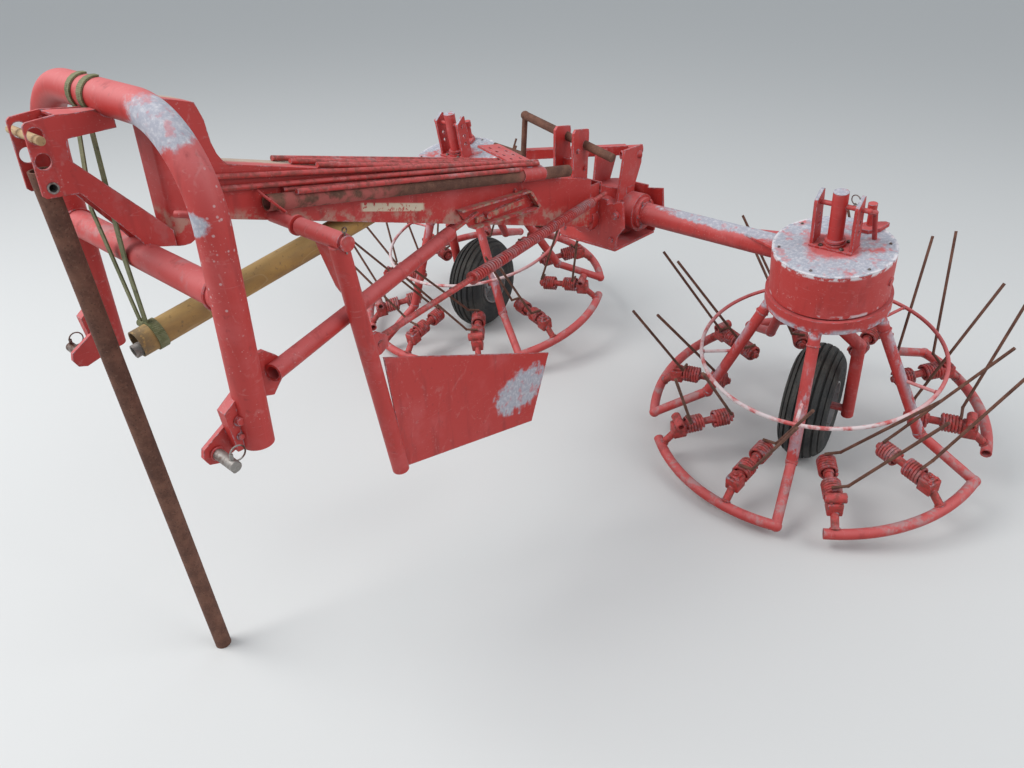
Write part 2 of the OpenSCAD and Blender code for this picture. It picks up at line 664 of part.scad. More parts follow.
// Base, two drilled plates with slanted tops, and the pointed stop plate with its knob
module post_brackets() color([0.7, 0.13, 0.11]) {
    for (s = [-1, 1]) at_drum(s) {
        difference() {
            union() {
                translate([-bracket_x - 5, -34, 0]) cube([2 * bracket_x + 10, 66, 6]);
                for (t = [-1, 1]) translate([t * bracket_x - 5, 0, 0]) rotate([90, 0, 90]) linear_extrude(10)
                    polygon([[-26, 0], [24, 0], [18, bracket_h + 16], [10, bracket_h + 18], [-24, bracket_h - 2],
                        [-26, bracket_h - 8]]);
            }
            translate([0, 0, -1]) cylinder(h = 20, r = post_r + fit);
            for (z = [lock_z, lock_z - 40, lock_z - 70]) translate([-bracket_x - 10, 0, z]) rotate([0, 90, 0])
                cylinder(h = 2 * bracket_x + 20, r = lock_pin_r);
        }
        linear_extrude(12) polygon([[s * 14, 96], [s * 56, 96], [s * 80, 122], [s * 90, 162],
            [s * 78, 166], [s * 30, 140]]);
        translate([s * 46, 128, 10]) cylinder(h = 62, r = 9);
        translate([s * 46, 128, 58]) cylinder(h = 22, r = 13);
    }
}

// Pins that lock the posts: the outer end bends down to the drum
module cross_pins() color([0.62, 0.16, 0.14]) {
    for (s = [-1, 1]) at_drum(s) difference() {
        union() {
            translate([s > 0 ? -bracket_x - 10 : -bracket_x - 26, 0, lock_z]) rotate([0, 90, 0])
                cylinder(h = 2 * bracket_x + 36, r = lock_pin_r - fit);
            translate([s * (bracket_x + 26), 0, lock_z]) sphere(lock_pin_r + 1);
            bar([s * (bracket_x + 26), 0, lock_z], [s * (bracket_x + 27), 42, lock_z - 24], lock_pin_r - 1);
            translate([s * (bracket_x + 27), 42, lock_z - 24]) sphere(lock_pin_r + 1);
            bar([s * (bracket_x + 27), 42, lock_z - 24], [s * (bracket_x + 24), 84, -8], lock_pin_r);
        }
        translate([-200, -200, -100]) cube([400, 400, 100]);
    }
}

/* Rotors */
module arm_bar() bar([arm_root_r, 0, -arm_root_drop], [knee_r, 0, -knee_drop], arm_r);

module rotor_hub() at_drum(1) {
    rotate([0, 0, arm_first + arm_step / 2]) difference() {
        union() {
            translate([0, 0, flange_low]) cylinder(h = flange_h, r = flange_r);
            translate([0, 0, hub_low]) cylinder(h = flange_top - hub_low, r = hub_r);
        }
        difference() {
            translate([0, 0, flange_low - 1]) cylinder(h = flange_h - 8 + 1, r = flange_r - 14);
            translate([0, 0, flange_low - 2]) cylinder(h = flange_h, r = hub_r);
        }
        translate([0, 0, hub_low - 1]) cylinder(h = flange_top - hub_low + 2, r = post_r + fit);
    }
    for (a = arm_angles) rotate([0, 0, a]) arm_bar();
}

// Each arm's tube goes on from the knee to the ring's radius and then round it, open at its end
module rotor_ring() at_drum(1) for (a = arm_angles) rotate([0, 0, a]) difference() {
    union() {
        translate([0, 0, -ring_drop]) rotate([0, 0, -ring_sweep]) rotate_extrude(angle = ring_sweep)
            translate([ring_r, 0]) circle(ring_tube);
        translate([knee_r, 0, -knee_drop]) sphere(arm_r + 1.5);
        bar([knee_r, 0, -knee_drop], [ring_r, 0, -ring_drop], ring_tube - 1);
        translate([ring_r, 0, -ring_drop]) sphere(ring_tube + 1.5);
    }
    arm_bar();
    rotate([0, 0, -ring_sweep - 1]) translate([0, 0, -ring_drop]) rotate_extrude(angle = 11) translate([ring_r, 0])
        circle(ring_tube - 4);
}

module rotor_guard() at_drum(1) difference() {
    union() {
        translate([0, 0, -guard_drop]) rotate_extrude() translate([guard_r, 0]) circle(guard_rod);
        for (a = arm_angles) rotate([0, 0, a])
            bar([arm_at(guard_drop) - 6, 0, -guard_drop], [guard_r, 0, -guard_drop], guard_rod - 1);
    }
    for (a = arm_angles) rotate([0, 0, a]) arm_bar();
}

// One wound coil as a ridged body of revolution
module coil_profile(n) {
    translate([0, -wire_r * n]) square([coil_out - wire_r, 2 * wire_r * n]);
    for (i = [0 : n - 1]) translate([coil_out - wire_r, (2 * i + 1 - n) * wire_r]) circle(wire_r);
}

// A pair of coils on their rod, the clamp at its end and the stay from the clamp to the ring arm
module coil_pair(eyed) {
    for (k = [-1, 1]) translate([coil_r + k * coil_pitch / 2, 0, -coil_drop]) rotate([0, 90, 0])
        rotate_extrude() coil_profile(coil_turns);
    bar([coil_r - coil_pitch / 2, 0, -coil_drop], [clamp_r, 0, -coil_drop], 12);
    translate([clamp_r - 20, -22, -coil_drop - 32]) cube([44, 44, 46]);
    if (eyed) translate([clamp_r + 2, -30, -coil_drop + 24]) rotate([-90, 0, 0]) difference() {
        cylinder(h = 60, r = 15);
        translate([0, 0, -1]) cylinder(h = 62, r = 9);
    } else translate([clamp_r - 12, -14, -coil_drop + 14]) cube([28, 28, 9]);
    difference() {
        bar([clamp_r + 8, 0, -coil_drop - 14], [ring_r, 0, -ring_drop], 12);
        rotate_extrude() translate([ring_r, -ring_drop]) circle(ring_tube);
    }
}

module rotor_coils() at_drum(1) for (a = arm_angles) {
    rotate([0, 0, a - arm_step / 4]) coil_pair(false);
    rotate([0, 0, a - 3 * arm_step / 4]) coil_pair(true);
}

// A tine runs off the top of its coil, kinks and then rises outward
module tine(k) {
    foot = [coil_r + k * (coil_pitch / 2 + 20), 0, -coil_drop + coil_out + wire_r];
    kink = foot + [0, 36, 8];
    tip = kink + tine_len * [0.33 - 0.07 * k, 0.42, 0.87];
    bar(foot - [0, 8, 0], kink, wire_r);
    translate(kink) sphere(wire_r + 0.7);
    bar(kink, tip, wire_r);
}

module rotor_tines() at_drum(1) for (a = arm_angles) for (part = [1, 3]) for (k = [-1, 1])
    rotate([0, 0, a - part * arm_step / 4]) tine(k);

module rotor_left_hub() color([0.72, 0.13, 0.11]) rotor_hub();
module rotor_left_ring() color([0.66, 0.12, 0.1]) rotor_ring();
module rotor_left_guard() color([0.76, 0.3, 0.28]) rotor_guard();
module rotor_left_coils() color([0.55, 0.14, 0.11]) rotor_coils();
module rotor_left_tines() color([0.35, 0.22, 0.16]) rotor_tines();
module rotor_right_hub() color([0.72, 0.13, 0.11]) mirror([1, 0, 0]) rotor_hub();
module rotor_right_ring() color([0.66, 0.12, 0.1]) mirror([1, 0, 0]) rotor_ring();
module rotor_right_guard() color([0.76, 0.3, 0.28]) mirror([1, 0, 0]) rotor_guard();
module rotor_right_coils() color([0.55, 0.14, 0.11]) mirror([1, 0, 0]) rotor_coils();
module rotor_right_tines() color([0.35, 0.22, 0.16]) mirror([1, 0, 0]) rotor_tines();

/* Wheels */
module tyre(s) {
    at_wheel(s) rotate([0, 90, 0]) difference() {
        rotate_extrude() {
            translate([rim_r, -tyre_w / 2 + 12]) square([tyre_r - rim_r - 30, tyre_w - 24]);
            intersection() {
                translate([tyre_r - 78, 0]) circle(78);
                translate([rim_r, -tyre_w / 2 + 4]) square([tyre_r - rim_r, tyre_w - 8]);
            }
        }
        translate([0, 0, -100]) cylinder(h = 200, r = rim_r + run);
    }
}

module rim(s) {
    at_wheel(s) rotate([0, 90, 0]) difference() {
        union() {
            difference() {
                translate([0, 0, -tyre_w / 2 + 8]) cylinder(h = tyre_w - 16, r = rim_r);
                translate([0, 0, -tyre_w / 2]) cylinder(h = tyre_w, r = rim_r - 4);
            }
            translate([0, 0, -3]) cylinder(h = 6, r = rim_r - 2);
            translate([0, 0, -38]) cylinder(h = 76, r = 26);
        }
        translate([0, 0, -100]) cylinder(h = 200, r = axle_r + fit);
        for (i = [0 : 4]) rotate([0, 0, 72 * i]) translate([54, 0, -20]) cylinder(h = 40, r = 6);
    }
}

module tyre_left() color([0.08, 0.08, 0.09]) tyre(1);
module rim_left() color([0.55, 0.55, 0.56]) rim(1);
module tyre_right() color([0.08, 0.08, 0.09]) tyre(-1);
module rim_right() color([0.55, 0.55, 0.56]) rim(-1);

/* Side deflector */
module pivot_stub() color([0.7, 0.12, 0.1]) at_machine() {
    cross_bar(beam_w / 2, sleeve_x2 + 7, pivot_y, pivot_z, pivot_r);
    cross_bar(sleeve_x1 - 13, sleeve_x1 - 7, pivot_y, pivot_z, pivot_r + 8);
    cross_bar(sleeve_x2 + 7, sleeve_x2 + 11, pivot_y, pivot_z, pivot_r + 3);
}

module flap_arm() color([0.7, 0.12, 0.1]) at_machine() {
    difference() {
        union() {
            bar(flap_top, flap_foot, flap_r);
            cross_bar(sleeve_x1, sleeve_x2, pivot_y, pivot_z, pivot_r + 5);
            front_plate([[flap_x - 80, pivot_z - 4], [flap_x - 10, pivot_z - 4], [flap_x - 10, pivot_z - 110],
                [flap_x - 24, pivot_z - 100], [flap_x - 62, pivot_z - 40]], pivot_y - 2, pivot_y + 4);
            side_plate([[eye_y + 60, eye_z + 26], [eye_y + 6, eye_z + 30], [eye_y - 20, eye_z + 12],
                [eye_y - 20, eye_z - 14], [eye_y + 2, eye_z - 26], [eye_y + 50, eye_z - 26]], flap_x - 16, flap_x - 8);
        }
        cross_bar(sleeve_x1 - 20, sleeve_x2 + 20, pivot_y, pivot_z, pivot_r + fit);
        cross_bar(flap_x - 20, flap_x - 4, eye_y, eye_z, rod_r + 0.12);
    }
}

module flap_sheet() color([0.72, 0.13, 0.11]) at_machine() {
    difference() {
        side_plate([[1245, 758], [673, 532], [744, 340], [1211, 446]], flap_x - flap_t / 2, flap_x + flap_t / 2);
        bar(flap_top, flap_foot + 0.1 * (flap_foot - flap_top), flap_r);
    }
}

module spring_rod() color([0.6, 0.14, 0.11]) at_machine() {
    rod_len = norm(rod_line);
    along(rod_low, rod_high) rotate_extrude() polygon([[0, 0], [rod_r, 0], [rod_r, 0.33 * rod_len],
        [spring_out + 1, 0.33 * rod_len], [spring_out + 1, 0.336 * rod_len], [rod_r, 0.336 * rod_len],
        [rod_r, rod_len], [0, rod_len]]);
    translate(rod_low) rotate([0, 90, 0]) cylinder(h = 22, r = rod_r + 0.02);
    translate(rod_low) sphere(rod_r + 1);
}

// Long spring as a ridged tube
module long_spring() color([0.5, 0.13, 0.1]) at_machine() {
    rod_len = norm(rod_line);
    low = 0.3363 * rod_len;
    turns = 60;
    pitch = (0.925 * rod_len - low) / turns;
    along(rod_low, rod_high) rotate_extrude() {
        translate([rod_r + 0.8, low]) square([spring_out - spring_wire - rod_r - 0.8, turns * pitch]);
        for (i = [0 : turns - 1]) translate([spring_out - spring_wire - 0.5, low + (i + 0.2) * pitch])
            square([spring_wire + 0.5, 0.6 * pitch]);
    }
}

/* Stowed gate */
module gate_tube() color([0.36, 0.2, 0.14]) at_machine() {
    pipe([tube_x, -tube_front, tube_z(tube_front)], [tube_x, -tube_rear, tube_z(tube_rear)], gate_tube_r, 3);
}

module gate_rods() color([0.62, 0.12, 0.1]) at_machine() {
    beside = beam_w / 2 + gate_rod_r + run;
    for (g = top_rods)
        bar([g[0], -g[1], beam_top(g[1]) + gate_rod_r + run],
            [g[0], -g[2], head_z(g[0]) + (g[2] - head_y) * tube_rise - gate_rod_r - 1.2], gate_rod_r);
    for (g = side_rods)
        bar([beside, -g[0], beam_top(g[0]) + g[1]],
            [g[2], -g[3], head_z(g[2]) + (g[3] - head_y) * tube_rise + gate_rod_r + 7], gate_rod_r);
    bar([beside, -1291, tube_z(1291) + gate_tube_r + 2.4], [beside, -570, tube_z(570) + gate_tube_r + 2.4], gate_rod_r);
    bar([tube_x + 13, -1276, tube_z(1276) + gate_tube_r + 3], [tube_x + 13, -570, tube_z(570) + gate_tube_r + 3],
        gate_rod_r);
}

// Head plate of the gate, drilled, and the sleeve that takes its tube
module gate_clamp() color([0.62, 0.12, 0.1]) at_machine() {
    difference() {
        union() {
            translate([tube_x, -head_y, head_z(tube_x)]) rotate([-atan(tube_rise), 0, 0])
                rotate([0, -180 + head_tilt, 0]) mirror([0, 0, 1]) difference() {
                    translate([0, -45, 0]) cube([172, 90, 6]);
                    for (i = [0 : 4]) for (j = [-1, 1]) translate([34 + 28 * i, 20 * j, -1]) cylinder(h = 8, r = 5.5);
                }
            pipe([tube_x, -head_y - 48, tube_z(head_y + 48)], [tube_x, -head_y + 45, tube_z(head_y - 45)],
                gate_tube_r + run + 2.4, 4);
        }
        bar([tube_x, -tube_front, tube_z(tube_front)], [tube_x, -tube_rear, tube_z(tube_rear)], gate_tube_r + run);
    }
}

hoop();
cross_tube();
mast_plates();
main_beam();
brace_tube();
link_plates();
link_pins();
top_pin();
stand_bolt();
stand_tube();
strap();
shaft_guard();
shaft_tube();
gearbox();
yoke();
fork();
cross_shaft();
arm_tubes();
drums();
posts();
wheel_stems();
post_brackets();
cross_pins();
rotor_left_hub();
rotor_left_ring();
rotor_left_guard();
rotor_left_coils();
rotor_left_tines();
rotor_right_hub();
rotor_right_ring();
rotor_right_guard();
rotor_right_coils();
rotor_right_tines();
tyre_left();
rim_left();
tyre_right();
rim_right();
pivot_stub();
flap_arm();
flap_sheet();
spring_rod();
long_spring();
gate_tube();
gate_rods();
gate_clamp();
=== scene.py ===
"""Dresses the hay tedder: weathered paint, tyres, wound springs, bolts and small fittings."""

import math

import bmesh
import bpy
from mathutils import Matrix, Vector


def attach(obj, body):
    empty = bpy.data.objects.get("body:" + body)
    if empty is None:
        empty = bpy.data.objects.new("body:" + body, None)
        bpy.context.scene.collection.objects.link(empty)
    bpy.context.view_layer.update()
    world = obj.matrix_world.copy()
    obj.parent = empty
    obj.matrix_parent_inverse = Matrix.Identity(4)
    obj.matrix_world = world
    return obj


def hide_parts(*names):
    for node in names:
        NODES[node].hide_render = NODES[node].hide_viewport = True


bl_info = {
    "name": "Hay tedder finish",
    "version": (1, 0, 0),
    "blender": (4, 5, 0),
    "location": "3D View > Sidebar > Tedder",
    "description": "Paints and details a two-rotor hay tedder and sets its stage",
    "category": "Object",
}

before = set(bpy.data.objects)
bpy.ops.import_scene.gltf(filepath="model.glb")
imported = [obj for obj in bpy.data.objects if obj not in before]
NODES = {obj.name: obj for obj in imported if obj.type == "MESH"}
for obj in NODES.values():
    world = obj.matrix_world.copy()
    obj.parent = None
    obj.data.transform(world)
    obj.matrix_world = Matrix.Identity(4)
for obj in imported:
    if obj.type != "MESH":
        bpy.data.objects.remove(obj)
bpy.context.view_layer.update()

# The machine's main places, as in the part: metres for masks, millimetres for forms
LEAN = math.radians(12)
ROTOR_LINE = 0.5393
AXIS_X = 0.75
WHEEL_DROP = 0.59
DRUM_TOP = 0.195 + WHEEL_DROP * math.cos(LEAN)
HOOP_Y = 1585
BOOM_Z = 1000 * DRUM_TOP - 49 * math.cos(LEAN)
BOOM_Y = 49 * math.sin(LEAN)
BEAM_REAR = 196
BEAM_REAR_Z = BOOM_Z + 145
BEAM_RISE = (1317 - 143 - BEAM_REAR_Z) / (1423 - BEAM_REAR)
ARM_ANGLES = [math.radians(-4 + 72 * i) for i in range(5)]
MILLI = Matrix.Diagonal((0.001, 0.001, 0.001, 1))
MACHINE = Matrix.Translation((0, ROTOR_LINE, 0)) @ MILLI
MIRROR = Matrix.Diagonal((-1, 1, 1, 1))


def drum_place(side):
    """The drum's own directions: its top is at height 0 and the rotor axis is upright."""
    return Matrix.Translation((side * AXIS_X, ROTOR_LINE, DRUM_TOP)) @ Matrix.Rotation(LEAN, 4, "X") @ MILLI


def wheel_place(side):
    """The wheel's own directions: its axle lies along X."""
    lowered = Matrix.Translation((0, 0, -1000 * WHEEL_DROP)) @ Matrix.Rotation(math.radians(10), 4, "Z")
    return drum_place(side) @ lowered


def spot(x, forward, height):
    """A point of the machine, in millimetres, from its distance in front of the rotor line."""
    return Vector((x, -forward, height))


class Socket:
    """An output socket, so that shader maths is written as Python expressions."""

    def __init__(self, paint, socket):
        self.paint = paint
        self.socket = socket

    def maths(self, operation, other=None, flip=False):
        pair = [self] if other is None else [other, self] if flip else [self, other]
        return self.paint.node("ShaderNodeMath", {"operation": operation}, dict(enumerate(pair)))

    def __add__(self, other):
        return self.maths("ADD", other)

    def __sub__(self, other):
        return self.maths("SUBTRACT", other)

    def __rsub__(self, other):
        return self.maths("SUBTRACT", other, flip=True)

    def __mul__(self, other):
        return self.maths("MULTIPLY", other)

    def __truediv__(self, other):
        return self.maths("DIVIDE", other)

    __radd__ = __add__
    __rmul__ = __mul__

    def absolute(self):
        return self.maths("ABSOLUTE")

    def root(self):
        return self.maths("SQRT")

    def either(self, other):
        return self.maths("MAXIMUM", other)

    def clamp(self):
        return self.paint.node("ShaderNodeClamp", {}, {"Value": self})

    def step(self, low, high):
        """0 below low, 1 above high and smooth between them. It falls where low is the larger."""
        if low > high:
            return 1 - self.step(high, low)
        values = {"Value": self, "From Min": low, "From Max": high}
        return self.paint.node("ShaderNodeMapRange", {"interpolation_type": "SMOOTHSTEP"}, values)

    def within(self, middle, half, soft):
        """1 inside a band about a middle, with soft edges."""
        return (self - middle).absolute().step(half + soft, half - soft)


class Paint:
    """One procedural material on Object coordinates, in metres."""

    def __init__(self, name):
        self.material = bpy.data.materials.new(name)
        self.material.use_nodes = True
        self.tree = self.material.node_tree
        self.shader = self.tree.nodes["Principled BSDF"]
        self.place = self.node("ShaderNodeTexCoord", {}, {}, "Object")
        split = self.node("ShaderNodeSeparateXYZ", {}, {"Vector": self.place}, None)
        self.x, self.y, self.z = (Socket(self, split.outputs[i]) for i in range(3))
        normal = self.node("ShaderNodeTexCoord", {}, {}, "Normal")
        facing = self.node("ShaderNodeSeparateXYZ", {}, {"Vector": normal}, None)
        self.nx, self.ny, self.nz = (Socket(self, facing.outputs[i]) for i in range(3))
        self.forward = ROTOR_LINE - self.y

    def node(self, kind, settings, values, output=0):
        """Adds a node: its settings first, then the values or links of its inputs."""
        made = self.tree.nodes.new(kind)
        for key, value in settings.items():
            setattr(made, key, value)
        for key, value in values.items():
            self.feed(made.inputs[key], value)
        return made if output is None else Socket(self, made.outputs[output])

    def feed(self, target, value):
        if isinstance(value, Socket):
            self.tree.links.new(value.socket, target)
        elif isinstance(value, (tuple, list)) and len(value) == 3 and target.type == "RGBA":
            target.default_value = (*value, 1)
        else:
            target.default_value = value

    def moved(self, shift, stretch):
        values = {"Vector": self.place, "Location": (shift, 0.7 * shift, 0.4 * shift), "Scale": stretch}
        return self.node("ShaderNodeMapping", {}, values)

    def noise(self, scale, detail=4, rough=0.55, shift=0.0, stretch=(1, 1, 1)):
        """Even noise from 0 to 1, scale in lumps per metre."""
        values = {"Vector": self.moved(shift, stretch), "Scale": scale, "Detail": detail, "Roughness": rough}
        return self.node("ShaderNodeTexNoise", {}, values)

    def cells(self, scale, shift=0.0):
        """Distance to the nearest of a scatter of points, in cells."""
        values = {"Vector": self.moved(shift, (1, 1, 1)), "Scale": scale}
        return self.node("ShaderNodeTexVoronoi", {}, values, "Distance")

    def scratches(self, scale, shift, stretch):
        """Thin lines along the level curves of a stretched noise."""
        return (self.noise(scale, 2, 0.4, shift, stretch) - 0.5).absolute().step(0.012, 0.003)

    def edges(self, radius=0.004):
        """1 along the sharp edges of a piece."""
        rounded = self.node("ShaderNodeBevel", {"samples": 4}, {"Radius": radius})
        flat = self.node("ShaderNodeNewGeometry", {}, {}, "Normal")
        values = {0: rounded, 1: flat}
        same = self.node("ShaderNodeVectorMath", {"operation": "DOT_PRODUCT"}, values, "Value")
        return same.step(0.985, 0.9)

    def mix(self, factor, first, second):
        made = self.node("ShaderNodeMix", {"data_type": "RGBA"}, {}, None)
        for index, value in ((0, factor), (6, first), (7, second)):
            self.feed(made.inputs[index], value)
        return Socket(self, made.outputs[2])

    def oval(self, middle, radii, ragged=1.3, scale=26):
        """1 inside an oval patch with a ragged edge. Its middle is in x, forward and height, in metres."""
        axes = (self.x, self.forward, self.z)
        parts = [(axis - at) / radius for axis, at, radius in zip(axes, middle, radii)]
        away = parts[0] * parts[0] + parts[1] * parts[1] + parts[2] * parts[2]
        return (away + (self.noise(scale, 5, 0.7, shift=1.7) - 0.5) * (2 * ragged)).step(1.15, 0.6)

    def at_drum(self):
        """Distance from the nearer rotor's axis, height over its drum top and distance behind the axis."""
        side = self.x.absolute() - AXIS_X
        back, up = self.y - ROTOR_LINE, self.z - DRUM_TOP
        behind = back * math.cos(LEAN) + up * math.sin(LEAN)
        height = up * math.cos(LEAN) - back * math.sin(LEAN)
        return (side * side + behind * behind).root(), height, behind

    def finish(self, colour, rough, height=None, depth=0.001, metallic=0.0):
        """Joins colour, roughness and relief to the shader. The depth of the relief is in metres."""
        inputs = {"Base Color": colour, "Roughness": rough, "Metallic": metallic}
        if height is not None:
            inputs["Normal"] = self.node("ShaderNodeBump", {}, {"Height": height, "Distance": depth})
        for name, value in inputs.items():
            self.feed(self.shader.inputs[name], value)
        return self.material


class Form:
    """A mesh built from bmesh operators, in millimetres at a place of the machine."""

    def __init__(self, place):
        self.place = place
        self.whole = bmesh.new()
        self.scratch = bpy.data.meshes.new("scratch")

    def add(self, part, matrix=None, bevel=0.0, segments=2):
        """Puts one closed shape in its place, rounding its sharp edges by some millimetres."""
        bmesh.ops.transform(part, matrix=matrix or Matrix(), verts=part.verts)
        if bevel:
            sharp = [edge for edge in part.edges if edge.calc_face_angle(0) > 0.6]
            bmesh.ops.bevel(part, geom=sharp, offset=bevel, segments=segments, profile=0.5,
                            affect="EDGES", material=-1, clamp_overlap=True)
        bmesh.ops.transform(part, matrix=self.place, verts=part.verts)
        bmesh.ops.recalc_face_normals(part, faces=part.faces)
        part.to_mesh(self.scratch)
        part.free()
        self.whole.from_mesh(self.scratch)

    def rod(self, start, end, radius, sides=20, end_radius=None, bevel=0.0):
        start, end = Vector(start), Vector(end)
        part = bmesh.new()
        last = radius if end_radius is None else end_radius
        bmesh.ops.create_cone(part, cap_ends=True, segments=sides, radius1=radius, radius2=last,
                              depth=(end - start).length)
        self.add(part, Matrix.Translation((start + end) / 2) @ aim(end - start), bevel)

    def block(self, middle, size, turn=None, bevel=1.0):
        part = bmesh.new()
        bmesh.ops.create_cube(part, size=1)
        self.add(part, Matrix.Translation(middle) @ (turn or Matrix()) @ Matrix.Diagonal((*size, 1)), bevel)

    def plate(self, outline, thickness, matrix, bevel=0.8):
        """A flat plate: its outline in X and Y, its thickness upwards."""
        part = bmesh.new()
        face = part.faces.new([part.verts.new((*point, 0)) for point in outline])
        made = bmesh.ops.extrude_face_region(part, geom=[face])
        raised = [item for item in made["geom"] if isinstance(item, bmesh.types.BMVert)]
        bmesh.ops.translate(part, vec=(0, 0, thickness), verts=raised)
        self.add(part, matrix, bevel)

    def sweep(self, profile, matrix, steps, angle=2 * math.pi, rise=0.0):
        """Turns a closed profile of radius and height about Z. With a rise per turn it winds a helix."""
        part = bmesh.new()
        ring = [part.verts.new((radius, 0, height)) for radius, height in profile]
        edges = [part.edges.new((ring[i - 1], ring[i])) for i in range(len(ring))]
        full = not rise and abs(angle - 2 * math.pi) < 1e-6
        lift = (0, 0, rise * angle / (2 * math.pi) / steps)
        made = bmesh.ops.spin(part, geom=ring + edges, cent=(0, 0, 0), axis=(0, 0, 1), dvec=lift,
                              angle=angle, steps=steps, use_merge=full, use_duplicate=False)
        if not full:
            last = [item for item in made["geom_last"] if isinstance(item, bmesh.types.BMEdge)]
            for loop in (edges, last):
                bmesh.ops.contextual_create(part, geom=loop)
        self.add(part, matrix)

    def wire_ring(self, middle, axis, radius, wire, steps=40, sides=8, angle=2 * math.pi, rise=0.0):
        """A ring, part of one, or a coil of wire about an axis."""
        turns = [2 * math.pi * i / sides for i in range(sides)]
        profile = [(radius + wire * math.cos(a), wire * math.sin(a)) for a in turns]
        self.sweep(profile, Matrix.Translation(middle) @ aim(axis), steps, angle, rise)

    def bolt(self, middle, axis, size, stud=False):
        """A hexagon head on its washer, with the end of a stud if it is a nut."""
        middle, axis = Vector(middle), Vector(axis).normalized()
        self.rod(middle - 0.3 * axis, middle + 0.2 * size * axis, 1.12 * size, 18)
        self.rod(middle + 0.2 * size * axis, middle + 0.85 * size * axis, 0.92 * size, 6, bevel=0.08 * size)
        if stud:
            self.rod(middle, middle + 1.35 * size * axis, 0.5 * size, 12, bevel=0.08 * size)

    def weld(self, middle, axis, radius, bead=3.0):
        """A low rounded bead round a tube."""
        self.wire_ring(middle, axis, radius, bead, steps=36, sides=6)

    def piece(self, name, material, body, *stands_for):
        mesh = bpy.data.meshes.new(name)
        self.whole.to_mesh(mesh)
        self.whole.free()
        bpy.data.meshes.remove(self.scratch)
        mesh.shade_smooth()
        mesh.set_sharp_from_angle(angle=math.radians(38))
        mesh.materials.append(material)
        made = bpy.data.objects.new(name, mesh)
        bpy.context.scene.collection.objects.link(made)
        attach(made, body)
        if stands_for:
            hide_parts(*stands_for)
        return made


def aim(direction):
    """Turns Z to a direction."""
    return Vector(direction).to_track_quat("Z", "Y").to_matrix().to_4x4()


class TEDDER_PG_colours(bpy.types.PropertyGroup):
    paint: bpy.props.FloatVectorProperty(
        name="Paint", description="Red paint where it has kept its colour", subtype="COLOR", size=3,
        default=(0.44, 0.030, 0.025))
    deep: bpy.props.FloatVectorProperty(
        name="Deep paint", description="Darker, dirtier red in the shade", subtype="COLOR", size=3,
        default=(0.19, 0.014, 0.014))
    # The faded pink also serves as painted sky light on the upward faces of the red paint.
    faded_and_sky_lit: bpy.props.FloatVectorProperty(
        name="Faded paint", description="Pinkish paint that the sun has bleached", subtype="COLOR", size=3,
        default=(0.56, 0.13, 0.13))
    chalk: bpy.props.FloatVectorProperty(
        name="Chalk", description="Bluish white of worn patches", subtype="COLOR", size=3,
        default=(0.33, 0.37, 0.43))
    rust: bpy.props.FloatVectorProperty(
        name="Rust", description="Rust brown", subtype="COLOR", size=3, default=(0.10, 0.042, 0.028))
    pale_rust: bpy.props.FloatVectorProperty(
        name="Pale rust", description="Dry rust on top of the dark", subtype="COLOR", size=3,
        default=(0.24, 0.13, 0.09))
    dirt: bpy.props.FloatVectorProperty(
        name="Dirt", description="Yellowish dirt and moss", subtype="COLOR", size=3,
        default=(0.33, 0.29, 0.20))
    ochre: bpy.props.FloatVectorProperty(
        name="Ochre", description="Plastic of the drive guard", subtype="COLOR", size=3,
        default=(0.40, 0.23, 0.06))
    rubber: bpy.props.FloatVectorProperty(
        name="Rubber", description="Tyre rubber", subtype="COLOR", size=3, default=(0.024, 0.026, 0.027))


class TEDDER_PG_view(bpy.types.PropertyGroup):
    eye: bpy.props.FloatVectorProperty(
        name="Eye", description="Place of the camera", subtype="TRANSLATION", unit="LENGTH",
        default=(1.446, -1.6207, 1.576))
    heading: bpy.props.FloatProperty(
        name="Heading", description="Turn of the camera about the vertical", subtype="ANGLE",
        default=math.radians(41.58))
    pitch: bpy.props.FloatProperty(
        name="Pitch", description="Downward tilt of the camera", subtype="ANGLE", default=math.radians(31.12))
    roll: bpy.props.FloatProperty(
        name="Roll", description="Roll of the camera", subtype="ANGLE", default=math.radians(-0.37))
    focus: bpy.props.FloatProperty(
        name="Focal length", description="Focal length over the picture's width", default=776.2 / 1024)


class TEDDER_PG_tyre(bpy.types.PropertyGroup):
    radius: bpy.props.FloatProperty(
        name="Radius", description="Radius of the tyre at its crown, in millimetres", default=195)
    crown: bpy.props.FloatProperty(
        name="Crown", description="Radius of the tread's rounding, in millimetres", default=78)
    groove: bpy.props.FloatProperty(
        name="Groove", description="Depth of the grooves, in millimetres", default=7)
    steps: bpy.props.IntProperty(name="Steps", description="Steps round the tyre", default=96)


class TEDDER_PG_springs(bpy.types.PropertyGroup):
    wire: bpy.props.FloatProperty(
        name="Tine wire", description="Radius of a tine's wire, in millimetres", default=4.5)
    outer: bpy.props.FloatProperty(
        name="Coil radius", description="Outer radius of a tine's coil, in millimetres", default=29)
    turns: bpy.props.IntProperty(name="Turns", description="Turns of a tine's coil", default=6)
    long_wire: bpy.props.FloatProperty(
        name="Long spring's wire", description="Radius of its wire, in millimetres", default=3.4)
    long_outer: bpy.props.FloatProperty(
        name="Long spring's radius", description="Its outer radius, in millimetres", default=16)
    long_pitch: bpy.props.FloatProperty(
        name="Long spring's pitch", description="Rise of one turn, in millimetres", default=10)


def settings():
    """The four property groups: colours, view, tyre and springs."""
    scene = bpy.context.scene
    return scene.tedder_colours, scene.tedder_view, scene.tedder_tyre, scene.tedder_springs


